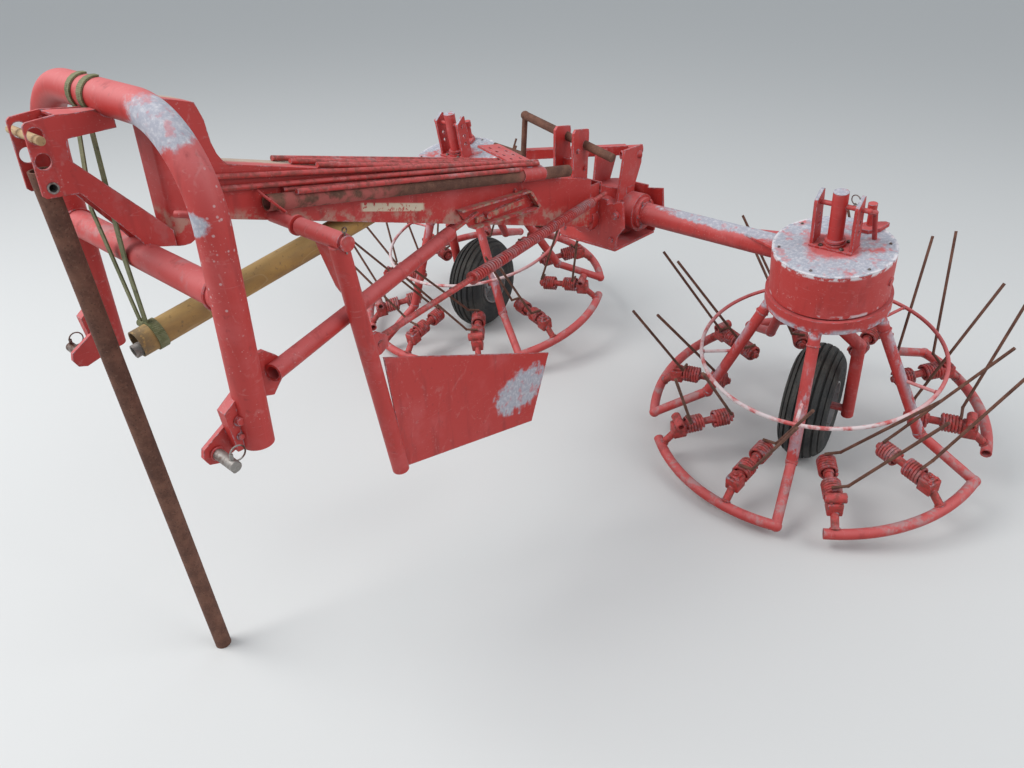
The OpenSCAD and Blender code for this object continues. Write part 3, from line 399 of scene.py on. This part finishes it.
def chalky(p):
    """Grainy bluish white with some paint left in it."""
    colours = settings()[0]
    grain = p.noise(110, 4, 0.7, shift=11.0)
    pale = p.mix(grain.step(0.40, 0.75), tuple(colours.chalk), (0.56, 0.58, 0.61))
    return p.mix(p.noise(30, 4, 0.6, shift=5.0).step(0.54, 0.66) * 0.5, pale, tuple(colours.faded_and_sky_lit))


def red_paint(name, sky_light_and_bleach=0.6, rust=0.35, wear=0.6, layers=()):
    """Old red paint: pinker on upward faces as painted sky light with some sun-bleaching, darker below as
    painted shade, scratched, specked, and worn along its edges.
    """
    colours = settings()[0]
    red, deep, faded_and_sky_lit = tuple(colours.paint), tuple(colours.deep), tuple(colours.faded_and_sky_lit)
    p = Paint(name)
    blotch = p.noise(7, 6, 0.6)
    fine = p.noise(75, 4, 0.65, shift=3.0)
    runs = p.noise(26, 4, 0.6, shift=9.0, stretch=(1, 1, 0.16))
    # Painted sky light: upward faces are mixed towards the faded pink, with some real bleaching.
    painted_sky_light = p.nz.step(-0.1, 0.9)
    # Painted shade: downward faces darken towards the deep red, and vertical streaks add real runs of dirt.
    painted_under_shade = p.nz.step(-0.2, -0.9)
    base = p.mix((painted_sky_light * sky_light_and_bleach * (0.55 + blotch * 0.8)).clamp(), red, faded_and_sky_lit)
    base = p.mix(blotch.step(0.5, 0.72) * 0.35, base, faded_and_sky_lit)
    base = p.mix((painted_under_shade * 0.6 + runs.step(0.54, 0.72) * 0.4).clamp(), base, deep)
    base = p.mix(fine.step(0.6, 0.75) * 0.4, base, deep)
    specks = p.cells(120, 2.0).step(0.2, 0.08) * p.noise(11, 3, 0.6, shift=7.0).step(0.5, 0.62)
    base = p.mix(specks * 0.4, base, (0.56, 0.36, 0.34))
    spots = p.cells(45, 6.0).step(0.2, 0.06) * p.noise(8, 3, 0.6, shift=13.0).step(0.48, 0.64)
    base = p.mix(spots * rust, base, tuple(colours.rust))
    lines = p.scratches(5, 2.0, (1, 1, 7)).either(p.scratches(4, 8.0, (7, 2, 1)))
    base = p.mix(lines * fine.step(0.46, 0.62) * 0.14, base, (0.60, 0.36, 0.34))
    rough = 0.40 + blotch * 0.18 + painted_sky_light * 0.12
    for colour, mask, strength in (layer(p, colours) for layer in layers):
        base = p.mix((mask * strength).clamp(), base, colour)
        rough = rough + mask * (0.25 * strength)
    worn = p.edges() * p.noise(34, 5, 0.7, shift=4.0).step(0.62 - 0.2 * wear, 0.72 - 0.2 * wear)
    base = p.mix(worn * 0.85, base, p.mix(fine.step(0.4, 0.6), tuple(colours.chalk), tuple(colours.rust)))
    base = p.mix(p.noise(14, 6, 0.7, shift=17.0).step(0.66, 0.74) * rust, base, tuple(colours.rust))
    return p.finish(base, rough.clamp(), blotch * 0.5 + fine * 0.35 - worn * 0.4, 0.0007)


def patches(*ovals):
    """Chalky patches: each oval's middle and radii in x, forward and height, in metres."""
    def layer(p, _colours):
        masks = [p.oval(middle, radii) for middle, radii in ovals]
        mask = masks[0]
        for other in masks[1:]:
            mask = mask.either(other)
        return chalky(p), mask, 0.92
    return layer


def speckled(middle, radii):
    """Pale specks in an oval."""
    def layer(p, _colours):
        return (0.58, 0.50, 0.50), p.oval(middle, radii) * p.cells(70, 4.0).step(0.22, 0.10), 0.5
    return layer


def drum_top(p, _colours):
    """Chalk on the drum's top, with red left round the bracket's base."""
    away, height, _ = p.at_drum()
    ragged = (p.noise(16, 6, 0.7, shift=6.0) - 0.5) * 0.09
    top = height.step(-0.004, -0.001) * height.step(0.012, 0.004)
    cover = (away + ragged).step(0.055, 0.09) * p.noise(9, 5, 0.65, shift=21.0).step(0.34, 0.44)
    return chalky(p), top * cover, 0.95


def drum_rim(p, _colours):
    """Chipped white along the top rim and, in places, the bottom one."""
    away, height, _ = p.at_drum()
    chips = p.noise(42, 5, 0.7, shift=8.0).step(0.44, 0.54)
    rim = height.within(-0.001, 0.010, 0.004) * away.step(0.155, 0.165)
    low = height.within(-0.134, 0.006, 0.004) * p.noise(30, 4, 0.6, shift=31.0).step(0.52, 0.6)
    return (0.66, 0.64, 0.66), rim * chips + low * 0.7, 0.95


def drum_wall(p, _colours):
    """Pale specks low on the drum's wall."""
    _, height, _ = p.at_drum()
    lower = height.step(-0.05, -0.13) * height.step(-0.16, -0.13)
    specks = p.cells(85, 9.0).step(0.26, 0.14) * p.noise(12, 3).step(0.45, 0.6)
    return (0.60, 0.42, 0.40), lower * specks, 0.55


def flange_edge(p, _colours):
    """Chalk along the lower edge of the hub's flange."""
    _, height, _ = p.at_drum()
    return chalky(p), height.within(-0.183, 0.014, 0.006) * p.noise(20, 5, 0.7).step(0.40, 0.52), 0.85


def leg_strips(p, _colours):
    """White worn strips down the outer sides of the sloping arms."""
    _, height, _ = p.at_drum()
    down = height.step(-0.20, -0.24)
    streak = p.noise(13, 5, 0.7, shift=15.0, stretch=(1, 1, 0.45)).step(0.50, 0.56)
    return chalky(p), down * streak * p.nz.step(-0.15, 0.5), 0.8


def ring_front(p, _colours):
    """White worn front of the guard ring."""
    _, _, behind = p.at_drum()
    return (0.66, 0.62, 0.62), behind.step(0.1, -0.25) * p.noise(22, 4, 0.6, shift=2.0).step(0.36, 0.56), 0.85


def greyed(strength=0.5, shift=0.0, where=(0.52, 0.66)):
    """Grey bare metal showing through in places, more on top."""
    def layer(p, _colours):
        mask = p.noise(15, 6, 0.7, shift=19.0 + shift).step(*where) * (0.35 + p.nz.step(-0.2, 0.8) * 0.65)
        return (0.34, 0.31, 0.31), mask, strength
    return layer


def grooves_rusty(p, colours):
    """Rust between the windings, pale on their crowns."""
    return tuple(colours.rust), p.noise(60, 5, 0.7, shift=3.0).step(0.42, 0.62), 0.6


def beam_dirt(p, colours):
    """Yellowish dirt along the far edge of the beam's top, dirt and moss along its foot."""
    above = p.z - (0.001 * BEAM_REAR_Z + (p.forward - 0.001 * BEAM_REAR) * BEAM_RISE)
    far = p.nz.step(0.75, 0.92) * (p.x + (p.noise(11, 5, 0.7) - 0.5) * 0.05).step(0.012, -0.018)
    foot = above.step(-0.080, -0.108) * p.noise(24, 5, 0.7, shift=5.0).step(0.45, 0.6) * 0.6
    return p.mix(p.noise(50, 4), tuple(colours.dirt), (0.46, 0.43, 0.36)), far.either(foot), 0.85


def decal_rest(p, _colours):
    """Scraped remains of a blank cream sticker on the beam's left side."""
    above = p.z - (0.001 * BEAM_REAR_Z + (p.forward - 0.001 * BEAM_REAR) * BEAM_RISE)
    length = p.forward.within(0.995, 0.095, 0.006)
    strip = above.within(-0.086, 0.010, 0.002) * length * p.x.step(0.037, 0.039)
    return (0.62, 0.56, 0.42), strip * p.noise(48, 5, 0.7, shift=9.0).step(0.40, 0.47), 0.9


def mossy(p, colours):
    """Dirt and moss on the outer side of the brace's channel."""
    grime = p.noise(30, 5, 0.7, shift=12.0).step(0.44, 0.60)
    return tuple(colours.dirt), grime * p.x.step(0.044, 0.047) * p.forward.within(0.62, 0.18, 0.02), 0.7


def plate_tops(p, _colours):
    """Worn tops of the post and its plates."""
    _, height, _ = p.at_drum()
    tops = height.step(0.128, 0.142) + height.within(0.164, 0.008, 0.006)
    return chalky(p), (tops * p.nz.step(0.3, 0.7)).clamp() * p.noise(40, 4).step(0.3, 0.45), 0.9


def rusty(name, pinkish=False):
    """Bare rusted steel with dark pits and dry pale rust."""
    colours = settings()[0]
    p = Paint(name)
    coarse = p.noise(22, 6, 0.65)
    fine = p.noise(150, 4, 0.7, shift=2.0)
    pits = p.cells(160, 5.0).step(0.28, 0.1)
    base = p.mix(coarse.step(0.35, 0.7), tuple(colours.rust), (0.19, 0.085, 0.055))
    base = p.mix(fine.step(0.5, 0.75) * 0.55, base, tuple(colours.pale_rust))
    base = p.mix(pits * 0.6, base, (0.045, 0.02, 0.015))
    if pinkish:
        ends = p.forward.step(0.98, 1.06).either(p.forward.within(0.52, 0.05, 0.03))
        base = p.mix(ends * p.noise(28, 4, shift=4.0).step(0.38, 0.56) * 0.8, base, (0.42, 0.10, 0.09))
    return p.finish(base, 0.74 + fine * 0.2, coarse * 0.4 + fine * 0.4 - pits * 0.3, 0.0009, metallic=0.2)


def worn_steel(name):
    """Bare steel with rust setting in."""
    colours = settings()[0]
    p = Paint(name)
    coarse = p.noise(30, 6, 0.7)
    fine = p.noise(180, 3, 0.6, shift=4.0)
    base = p.mix(coarse.step(0.42, 0.62), (0.30, 0.28, 0.26), tuple(colours.rust))
    base = p.mix(fine.step(0.55, 0.7) * 0.5, base, (0.46, 0.43, 0.40))
    return p.finish(base, 0.42 + coarse * 0.4, fine * 0.4 + coarse * 0.4, 0.0005, metallic=0.7)


def rubber(name):
    """Weathered rubber: dusty in its grooves, fine cracks in its walls."""
    colours = settings()[0]
    p = Paint(name)
    dust = p.noise(9, 5, 0.65)
    fine = p.noise(220, 3, 0.6, shift=5.0)
    cracks = (p.noise(90, 2, 0.4, shift=2.0) - 0.5).absolute().step(0.02, 0.004)
    dusty = dust.step(0.4, 0.7) * 0.5 + p.nz.step(0.2, 0.9) * 0.25
    base = p.mix(dusty, tuple(colours.rubber), (0.105, 0.10, 0.085))
    base = p.mix(cracks * 0.6, base, (0.008, 0.008, 0.008))
    return p.finish(base, 0.78 + fine * 0.18, fine * 0.4 - cracks * 0.6, 0.0006)


def grey_paint(name):
    """Dull grey paint with rust specks and worn edges."""
    colours = settings()[0]
    p = Paint(name)
    coarse = p.noise(20, 5, 0.65)
    fine = p.noise(120, 4, 0.65, shift=3.0)
    base = p.mix(coarse.step(0.4, 0.66), (0.30, 0.305, 0.31), (0.20, 0.20, 0.205))
    base = p.mix(p.cells(60, 3.0).step(0.3, 0.12) * coarse.step(0.42, 0.6), base, tuple(colours.rust))
    base = p.mix(p.edges() * fine.step(0.4, 0.6), base, tuple(colours.pale_rust))
    return p.finish(base, 0.5 + coarse * 0.25, fine * 0.5 + coarse * 0.5, 0.0006, metallic=0.15)


def ochre_plastic(name):
    """The guard's dull ochre: grime in streaks along it, scuffs, and a lighter crown that is painted sky
    light with some bleaching.
    """
    colours = settings()[0]
    p = Paint(name)
    broad = p.noise(8, 5, 0.6, stretch=(2.5, 0.5, 1))
    fine = p.noise(90, 4, 0.65, shift=4.0)
    base = p.mix(broad.step(0.38, 0.68), tuple(colours.ochre), (0.22, 0.125, 0.045))
    # Painted sky light, partly bleaching: upward faces lighten towards pale ochre.
    base = p.mix(p.nz.step(0.3, 1.0) * 0.4, base, (0.50, 0.36, 0.16))
    base = p.mix(fine.step(0.58, 0.72) * 0.6, base, (0.13, 0.085, 0.045))
    base = p.mix(p.scratches(6, 3.0, (6, 1, 2)) * 0.15, base, (0.56, 0.44, 0.26))
    base = p.mix(p.forward.step(1.60, 1.638) * fine.step(0.35, 0.5) * 0.7, base, (0.10, 0.075, 0.05))
    return p.finish(base, 0.55 + broad * 0.25, fine * 0.5 + broad * 0.5, 0.0005)


def webbing(name):
    """Mossy green strap: woven ribs across, faded edges and dark stains."""
    p = Paint(name)

    def weave(direction, scale):
        values = {"Vector": p.place, "Scale": scale, "Distortion": 0.4}
        return p.node("ShaderNodeTexWave", {"bands_direction": direction}, values, "Fac")

    ribs, cords = weave("Z", 110), weave("X", 90)
    stain = p.noise(18, 5, 0.7)
    base = p.mix(stain.step(0.36, 0.64), (0.085, 0.095, 0.035), (0.19, 0.19, 0.10))
    base = p.mix((ribs * cords).step(0.2, 0.8) * 0.4, base, (0.26, 0.25, 0.15))
    base = p.mix(p.noise(45, 4, shift=7.0).step(0.58, 0.7) * 0.7, base, (0.05, 0.05, 0.028))
    return p.finish(base, 0.9, ribs * 0.6 + cords * 0.4, 0.0007)


def peg_wood(name):
    """Bare tan wood with its grain along X."""
    p = Paint(name)
    grain = p.noise(55, 5, 0.6, stretch=(0.12, 1, 1))
    rings = p.noise(240, 3, 0.5, shift=3.0, stretch=(0.06, 1, 1))
    base = p.mix(grain.step(0.35, 0.65), (0.34, 0.21, 0.10), (0.50, 0.36, 0.20))
    base = p.mix(rings.step(0.55, 0.7) * 0.5, base, (0.17, 0.10, 0.055))
    return p.finish(base, 0.78, grain * 0.5 + rings * 0.5, 0.0006)


def dress(node, material):
    """Gives a CAD node its finish."""
    if len(NODES[node].data.materials):
        for slot in NODES[node].material_slots:
            slot.material = material
    else:
        NODES[node].data.materials.append(material)


def finishes():
    """Every finish of the machine with the nodes that have it."""
    hoop = [patches(((0.215, 1.585, 1.300), (0.075, 0.06, 0.05)),
                    ((0.300, 1.600, 1.165), (0.026, 0.05, 0.022)),
                    ((0.268, 1.575, 1.06), (0.014, 0.04, 0.09))),
            speckled((0.30, 1.585, 1.12), (0.05, 0.06, 0.17))]
    sheet = [patches(((0.262, 0.790, 0.465), (0.03, 0.105, 0.065)))]
    centre = [greyed(0.35, 3.0)]
    arms = [patches(((0.42, 0.0, 0.762), (0.25, 0.06, 0.020)), ((-0.42, 0.0, 0.762), (0.25, 0.06, 0.020)))]
    return {
        red_paint("hoop_paint", 0.9, 0.2, 0.5, hoop): ["hoop"],
        red_paint("frame_paint", 0.7, 0.3, 0.6, [greyed(0.4)]): ["cross_tube", "pivot_stub", "wheel_stems"],
        red_paint("mast_paint", 0.7, 0.45, 0.9, [greyed(0.3, 1.0)]): ["mast_plates", "link_plates"],
        red_paint("beam_paint", 0.5, 0.3, 0.7, [beam_dirt, decal_rest]): ["main_beam"],
        red_paint("brace_paint", 0.65, 0.35, 0.8, [mossy]): ["brace_tube"],
        red_paint("drum_paint", 0.95, 0.15, 0.5, [drum_wall, drum_top, drum_rim]): ["drums"],
        red_paint("post_paint", 0.6, 0.3, 1.2, [plate_tops]): ["posts", "post_brackets"],
        red_paint("hub_paint", 0.55, 0.3, 0.8, [flange_edge, leg_strips]):
            ["rotor_left_hub", "rotor_right_hub"],
        red_paint("ring_paint", 0.6, 0.5, 0.9, [greyed(0.6, 2.0, (0.5, 0.62))]):
            ["rotor_left_ring", "rotor_right_ring"],
        red_paint("guard_paint", 0.9, 0.3, 0.4, [ring_front]): ["rotor_left_guard", "rotor_right_guard"],
        red_paint("centre_paint", 0.6, 0.45, 1.0, centre): ["gearbox", "yoke", "fork", "gate_clamp"],
        red_paint("arm_paint", 0.7, 0.25, 0.7, arms): ["arm_tubes"],
        red_paint("flap_paint", 0.5, 0.25, 0.9, sheet): ["flap_sheet"],
        red_paint("flap_arm_paint", 0.7, 0.3, 0.9, [greyed(0.4, 5.0)]): ["flap_arm"],
        red_paint("rod_paint", 0.5, 0.8, 0.6, [greyed(0.5, 4.0), grooves_rusty]): ["spring_rod", "gate_rods"],
        red_paint("pin_paint", 0.4, 1.0, 1.2, [greyed(0.7, 6.0)]): ["cross_pins"],
        rusty("stand_rust"): ["stand_tube", "cross_shaft"],
        rusty("gate_rust", pinkish=True): ["gate_tube"],
        rusty("tine_rust"): ["rotor_left_tines", "rotor_right_tines"],
        worn_steel("worn_steel"): ["link_pins", "stand_bolt", "shaft_tube"],
        grey_paint("rim_grey"): ["rim_left", "rim_right"],
        ochre_plastic("ochre_guard"): ["shaft_guard"],
        webbing("green_webbing"): ["strap"],
        peg_wood("peg_wood"): ["top_pin"],
    }


class TEDDER_OT_paint(bpy.types.Operator):
    """Paint every node of the machine"""
    bl_idname = "tedder.paint"
    bl_label = "Paint the machine"

    def execute(self, context):
        for material, names in finishes().items():
            for name in names:
                dress(name, material)
        return {"FINISHED"}


# The tyre's ribs from its middle outwards, and the radius and half width of its wall down to the bead
RIBS = ((4, 17), (25, 39), (47, 58))
SIDEWALL = ((149, 70.5), (132, 71), (122, 71), (120, 69.5), (112, 69.5), (110, 70.5), (98, 66), (92, 63),
            (88, 64), (82.6, 60))


class TEDDER_OT_tyres(bpy.types.Operator):
    """Turn the ribbed tyres"""
    bl_idname = "tedder.tyres"
    bl_label = "Turn the tyres"

    def execute(self, context):
        tyre = settings()[2]
        material = rubber("tyre_rubber")
        middle = tyre.radius - tyre.crown

        def crown(x, sunk=0.0):
            return (middle + math.sqrt(tyre.crown ** 2 - x * x) - sunk, x)

        half = []
        for inner, outer in RIBS:
            half += [crown(inner - 1.5, tyre.groove), crown(inner), crown((inner + outer) / 2),
                     crown(outer), crown(outer + 1.5, tyre.groove)]
        half += [crown(62), crown(66), *SIDEWALL]
        profile = half + [(radius, -x) for radius, x in reversed(half)]
        for side, end in ((1, "left"), (-1, "right")):
            form = Form(wheel_place(side))
            form.sweep(profile, Matrix.Rotation(math.pi / 2, 4, "Y"), tyre.steps)
            form.piece("tread_" + end, material, "wheel_" + end, "tyre_" + end)
        return {"FINISHED"}


# A pair of coils in its rotor: distance from the axis, height, half the distance between the two,
# the clamp's distance from the axis, and the eye's outline as radius and length
COIL_OUT = 360
COIL_LOW = -575
COIL_APART = 47
CLAMP_OUT = 457
EYE = ((9, 0), (13.5, 0), (15, 1.5), (15, 58.5), (13.5, 60), (9, 60))
# The long spring: the ends of its rod, and where the spring starts and stops along it
ROD_LOW = (234, 1241, 788)
ROD_HIGH = (56, 140, BOOM_Z + 91)
SPRING_START = 0.3363
SPRING_STOP = 0.925


class TEDDER_OT_springs(bpy.types.Operator):
    """Wind the tine coils with their clamps and the long spring"""
    bl_idname = "tedder.springs"
    bl_label = "Wind the springs"

    def coil_pair(self, form, turn, eyed):
        """Two coils, their core, the clamp on the ring arm with its eye or its nut, and the stub below."""
        springs = settings()[3]
        spin = Matrix.Rotation(turn, 4, "Z")

        def at(x, y, z):
            return spin @ Vector((x, y, z))

        radius = springs.outer - springs.wire
        pitch = 2.06 * springs.wire
        length = pitch * springs.turns
        along = spin @ Vector((1, 0, 0))
        for k in (-1, 1):
            middle = COIL_OUT + COIL_APART * k
            form.wire_ring(at(middle - length / 2, 0, COIL_LOW), along, radius, springs.wire,
                           20 * springs.turns, 8, 2 * math.pi * springs.turns, pitch)
            form.rod(at(middle - length / 2 - 4, 0, COIL_LOW), at(middle + length / 2 + 4, 0, COIL_LOW),
                     16, 20, bevel=1)
        form.rod(at(280, 0, COIL_LOW), at(455, 0, COIL_LOW), 12, 20, bevel=1)
        form.bolt(at(281, 0, COIL_LOW), -along, 12)
        form.block(at(CLAMP_OUT, 0, COIL_LOW - 9), (44, 44, 46), spin, bevel=4)
        for y in (-13, 13):
            form.bolt(at(468, y, -562), (0, 0, 1), 7, stud=True)
        if eyed:
            lying = Matrix.Rotation(-math.pi / 2, 4, "X")
            form.sweep(EYE, Matrix.Translation(at(CLAMP_OUT, -30, -551)) @ spin @ lying, 28)
        else:
            form.block(at(CLAMP_OUT, 0, -557), (28, 28, 9), spin, bevel=1.5)
            form.bolt(at(CLAMP_OUT, 0, -553), (0, 0, 1), 9, stud=True)
        form.rod(at(463, 0, -589), at(509, 0, -632), 12, 20)
        form.weld(at(505, 0, -628), at(509, 0, -632) - at(463, 0, -589), 12.5, 3.5)

    def execute(self, context):
        paint = red_paint("coil_paint", 0.3, 0.9, 0.7, [grooves_rusty, greyed(0.35, 8.0)])
        for side, end in ((1, "left"), (-1, "right")):
            form = Form(drum_place(1) if side == 1 else MIRROR @ drum_place(1))
            for angle in ARM_ANGLES:
                self.coil_pair(form, angle - math.radians(18), False)
                self.coil_pair(form, angle - math.radians(54), True)
            form.piece("coils_" + end, paint, "rotor_" + end, "rotor_" + end + "_coils")
        springs = settings()[3]
        low, high = spot(*ROD_LOW), spot(*ROD_HIGH)
        length = (high - low).length
        start, stop = SPRING_START * length, SPRING_STOP * length
        turns = int((stop - start - 2 * springs.long_wire) / springs.long_pitch)
        form = Form(MACHINE)
        form.wire_ring(low + (high - low).normalized() * (start + springs.long_wire), high - low,
                       springs.long_outer - springs.long_wire, springs.long_wire, 16 * turns, 8,
                       2 * math.pi * turns, (stop - start - 2 * springs.long_wire) / turns)
        worn = red_paint("long_spring_paint", 0.3, 0.7, 0.6, [greyed(0.5, 9.0, (0.5, 0.6))])
        form.piece("wound_spring", worn, "rod", "long_spring")
        return {"FINISHED"}


# Bolts in the beam's left side: distance in front of the rotor line and height
BEAM_BOLTS = ((1180, 1055), (560, 918), (1480, 1130), (1480, 1200))


class TEDDER_OT_bolts(bpy.types.Operator):
    """Fit the bolts, nuts and weld beads"""
    bl_idname = "tedder.bolts"
    bl_label = "Fit the bolts"

    def on_frame(self, form):
        """Flanges of the arm tubes, leg ends, cheek plates, beam, gearbox and the stand's bolt."""
        for side in (-1, 1):
            for i in range(6):
                turn = math.radians(30 + 60 * i)
                place = (side * 119, BOOM_Y + 44 * math.sin(turn), BOOM_Z + 44 * math.cos(turn))
                form.bolt(place, (side, 0, 0), 6)
            form.weld((side * 121, BOOM_Y, BOOM_Z), (1, 0, 0), 37)
            form.weld((side * 272, -HOOP_Y, 1029), (1, 0, 0), 29, 3.5)
            form.bolt((side * 305, -HOOP_Y - 30, 800), (side, 0, 0), 10)
            form.bolt((side * 305, -HOOP_Y - 34, 768), (side, 0, 0), 7)
            form.weld((side * 283, -HOOP_Y - 73, 739), (1, 0, 0), 12, 2.5)
            form.bolt((side * 112, -162, BOOM_Z + 34), (0, -1, 0), 9)
            form.bolt((side * 96, -150, BOOM_Z - 52), (0, -1, 0), 8)
            form.bolt((side * 96, 92, BOOM_Z - 52), (0, 1, 0), 8)
        for forward, height in BEAM_BOLTS:
            form.bolt(spot(40, forward, height), (1, 0, 0), 7)
        for forward, height in ((251, BEAM_REAR_Z + 95), (213, BEAM_REAR_Z + 36)):
            form.bolt(spot(24, forward, height), (1, 0, 0), 7)
        for turn in range(4):
            angle = math.radians(45 + 90 * turn)
            place = (34 * math.cos(angle), -182, BOOM_Z + 6 + 34 * math.sin(angle))
            form.bolt(place, (0, -1, 0), 6)
        form.bolt((-36, -1714, 1193), (-1, 0, 0), 12)

    def on_drums(self, form):
        """Screws round the drum's top and in the base of its brackets."""
        for i in range(6):
            turn = math.radians(30 + 60 * i)
            form.bolt((148 * math.cos(turn), 148 * math.sin(turn), 0), (0, 0, 1), 4)
        for x in (-48, 48):
            form.bolt((x * 0.62, -24, 6), (0, 0, 1), 6)
            form.bolt((x * 0.62, 24, 6), (0, 0, 1), 6)

    def on_rotor(self, form):
        """Weld beads where the sloping arms, the ring and its stays meet."""
        for angle in ARM_ANGLES:
            turn = Matrix.Rotation(angle, 4, "Z")
            form.weld(turn @ Vector((181, 0, -223)), turn @ Vector((186, 0, -380)), 17.3, 3)
            form.weld(turn @ Vector((345, 0, -549)), turn @ Vector((178, 0, -95)), 15.3, 2.5)
            form.weld(turn @ Vector((352, 0, -373)), turn @ Vector((1, 0, 0)), 5.2, 2)

    def execute(self, context):
        steel = worn_steel("bolt_steel")
        red = red_paint("bolt_paint", 0.4, 0.8, 1.0, [greyed(0.4, 11.0)])
        form = Form(MACHINE)
        self.on_frame(form)
        form.piece("frame_bolts", red, "frame")
        for side, end in ((1, "left"), (-1, "right")):
            form = Form(drum_place(side))
            self.on_drums(form)
            form.piece("drum_bolts_" + end, steel, "frame")
            form = Form(drum_place(1) if side == 1 else MIRROR @ drum_place(1))
            self.on_rotor(form)
            form.piece("rotor_welds_" + end, red, "rotor_" + end)
            form = Form(wheel_place(side))
            for i in range(5):
                turn = math.radians(90 - 72 * i)
                level = turn - math.pi / 2
                place = Vector((3 * side, 54 * math.sin(level), 54 * math.cos(level)))
                form.bolt(place, (side, 0, 0), 8, stud=True)
                form.rod(place, place - Vector((12 * side, 0, 0)), 5.6, 12)
            form.bolt((side * -38, 0, 0), (-side, 0, 0), 0.1)
            form.piece("wheel_nuts_" + end, steel, "wheel_" + end)
        return {"FINISHED"}


class TEDDER_OT_fittings(bpy.types.Operator):
    """Add the clips, rings and hooks"""
    bl_idname = "tedder.fittings"
    bl_label = "Add small fittings"

    def execute(self, context):
        steel = worn_steel("clip_steel")
        form = Form(MACHINE)
        # Spring clip through the end of the deflector's pivot
        form.rod((284, -1322, 1024), (284, -1322, 1068), 1.8, 10)
        form.wire_ring((284, -1322, 1072), (1, 0, 0), 5, 1.6)
        # Rings of the linch pins in the lower link pins
        for side in (-1, 1):
            form.rod((side * 334, -1658, 722), (side * 334, -1658, 762), 3.6, 12, bevel=0.6)
            form.wire_ring((side * 334, -1645, 758), (1, 0, 0), 15, 1.6)
        form.piece("clips", steel, "frame")
        form = Form(MACHINE)
        # Peg on the near leg and the hook rod across the mouth of the gate's tube
        form.rod((284, -1602, 1174), (262, -1624, 1176), 6, 14, bevel=1)
        form.rod(spot(36, 1352, 1112), spot(86, 1346, 1092), 3, 12, bevel=0.5)
        form.rod(spot(86, 1346, 1092), spot(84, 1316, 1062), 3, 12)
        form.piece("hook_rod", red_paint("hook_paint", 0.5, 0.7, 0.6), "frame")
        for side, end in ((1, "left"), (-1, "right")):
            form = Form(drum_place(side))
            form.wire_ring((side * 30, 34, 132), (0.3, 1, 0), 14, 1.6)
            form.rod((side * 30, 20, 118), (side * 30, 34, 121), 3, 12)
            form.piece("linch_ring_" + end, steel, "frame")
        return {"FINISHED"}


# Name, place and size in metres, and power in watts
LAMPS = (("key", (-2.5, -3.5, 5.0), 3.5, 300), ("fill", (4.5, 1.5, 4.0), 4.0, 110))


class TEDDER_OT_stage(bpy.types.Operator):
    """Set the camera, the floor and the lamps"""
    bl_idname = "tedder.stage"
    bl_label = "Set the stage"

    def execute(self, context):
        view = settings()[1]
        camera_data = bpy.data.cameras.new("camera")
        camera_data.sensor_width = 36.0
        camera_data.lens = 36.0 * view.focus
        camera = bpy.data.objects.new("camera", camera_data)
        context.scene.collection.objects.link(camera)
        turn = Matrix.Rotation(view.heading, 4, "Z") @ Matrix.Rotation(math.pi / 2 - view.pitch, 4, "X")
        camera.matrix_world = Matrix.Translation(view.eye) @ turn @ Matrix.Rotation(view.roll, 4, "Z")
        camera_data.clip_start = 0.05
        camera_data.clip_end = 100
        context.scene.camera = camera
        mesh = bpy.data.meshes.new("floor")
        form = bmesh.new()
        bmesh.ops.create_grid(form, x_segments=2, y_segments=2, size=30)
        form.to_mesh(mesh)
        form.free()
        floor = bpy.data.objects.new("floor", mesh)
        context.scene.collection.objects.link(floor)
        mesh.materials.append(Paint("floor_pale").finish((0.62, 0.62, 0.61), 0.9))
        world = bpy.data.worlds.new("studio")
        world.use_nodes = True
        world.node_tree.nodes["Background"].inputs["Color"].default_value = (0.88, 0.94, 1.0, 1)
        world.node_tree.nodes["Background"].inputs["Strength"].default_value = 0.62
        context.scene.world = world
        for name, place, size, watts in LAMPS:
            lamp_data = bpy.data.lights.new(name, "AREA")
            lamp_data.size = size
            lamp_data.energy = watts
            lamp = bpy.data.objects.new(name, lamp_data)
            lamp.location = place
            lamp.rotation_euler = (Vector((0, 0, 0.5)) - Vector(place)).to_track_quat("-Z", "Y").to_euler()
            context.scene.collection.objects.link(lamp)
        context.scene.view_settings.view_transform = "Standard"
        return {"FINISHED"}


class TEDDER_PT_panel(bpy.types.Panel):
    bl_idname = "TEDDER_PT_panel"
    bl_label = "Hay tedder"
    bl_space_type = "VIEW_3D"
    bl_region_type = "UI"
    bl_category = "Tedder"

    def draw(self, context):
        for operator in OPERATORS:
            self.layout.operator(operator.bl_idname)


GROUPS = {"colours": TEDDER_PG_colours, "view": TEDDER_PG_view, "tyre": TEDDER_PG_tyre,
          "springs": TEDDER_PG_springs}
OPERATORS = (TEDDER_OT_stage, TEDDER_OT_paint, TEDDER_OT_tyres, TEDDER_OT_springs, TEDDER_OT_bolts,
             TEDDER_OT_fittings)
CLASSES = (*GROUPS.values(), *OPERATORS, TEDDER_PT_panel)


def register():
    for made in CLASSES:
        bpy.utils.register_class(made)
    for name, group in GROUPS.items():
        setattr(bpy.types.Scene, "tedder_" + name, bpy.props.PointerProperty(type=group))


def unregister():
    for name in GROUPS:
        delattr(bpy.types.Scene, "tedder_" + name)
    for made in reversed(CLASSES):
        bpy.utils.unregister_class(made)


def main():
    register()
    bpy.ops.tedder.stage()
    bpy.ops.tedder.paint()
    bpy.ops.tedder.tyres()
    bpy.ops.tedder.springs()
    bpy.ops.tedder.bolts()
    bpy.ops.tedder.fittings()


if __name__ == "__main__":
    main()
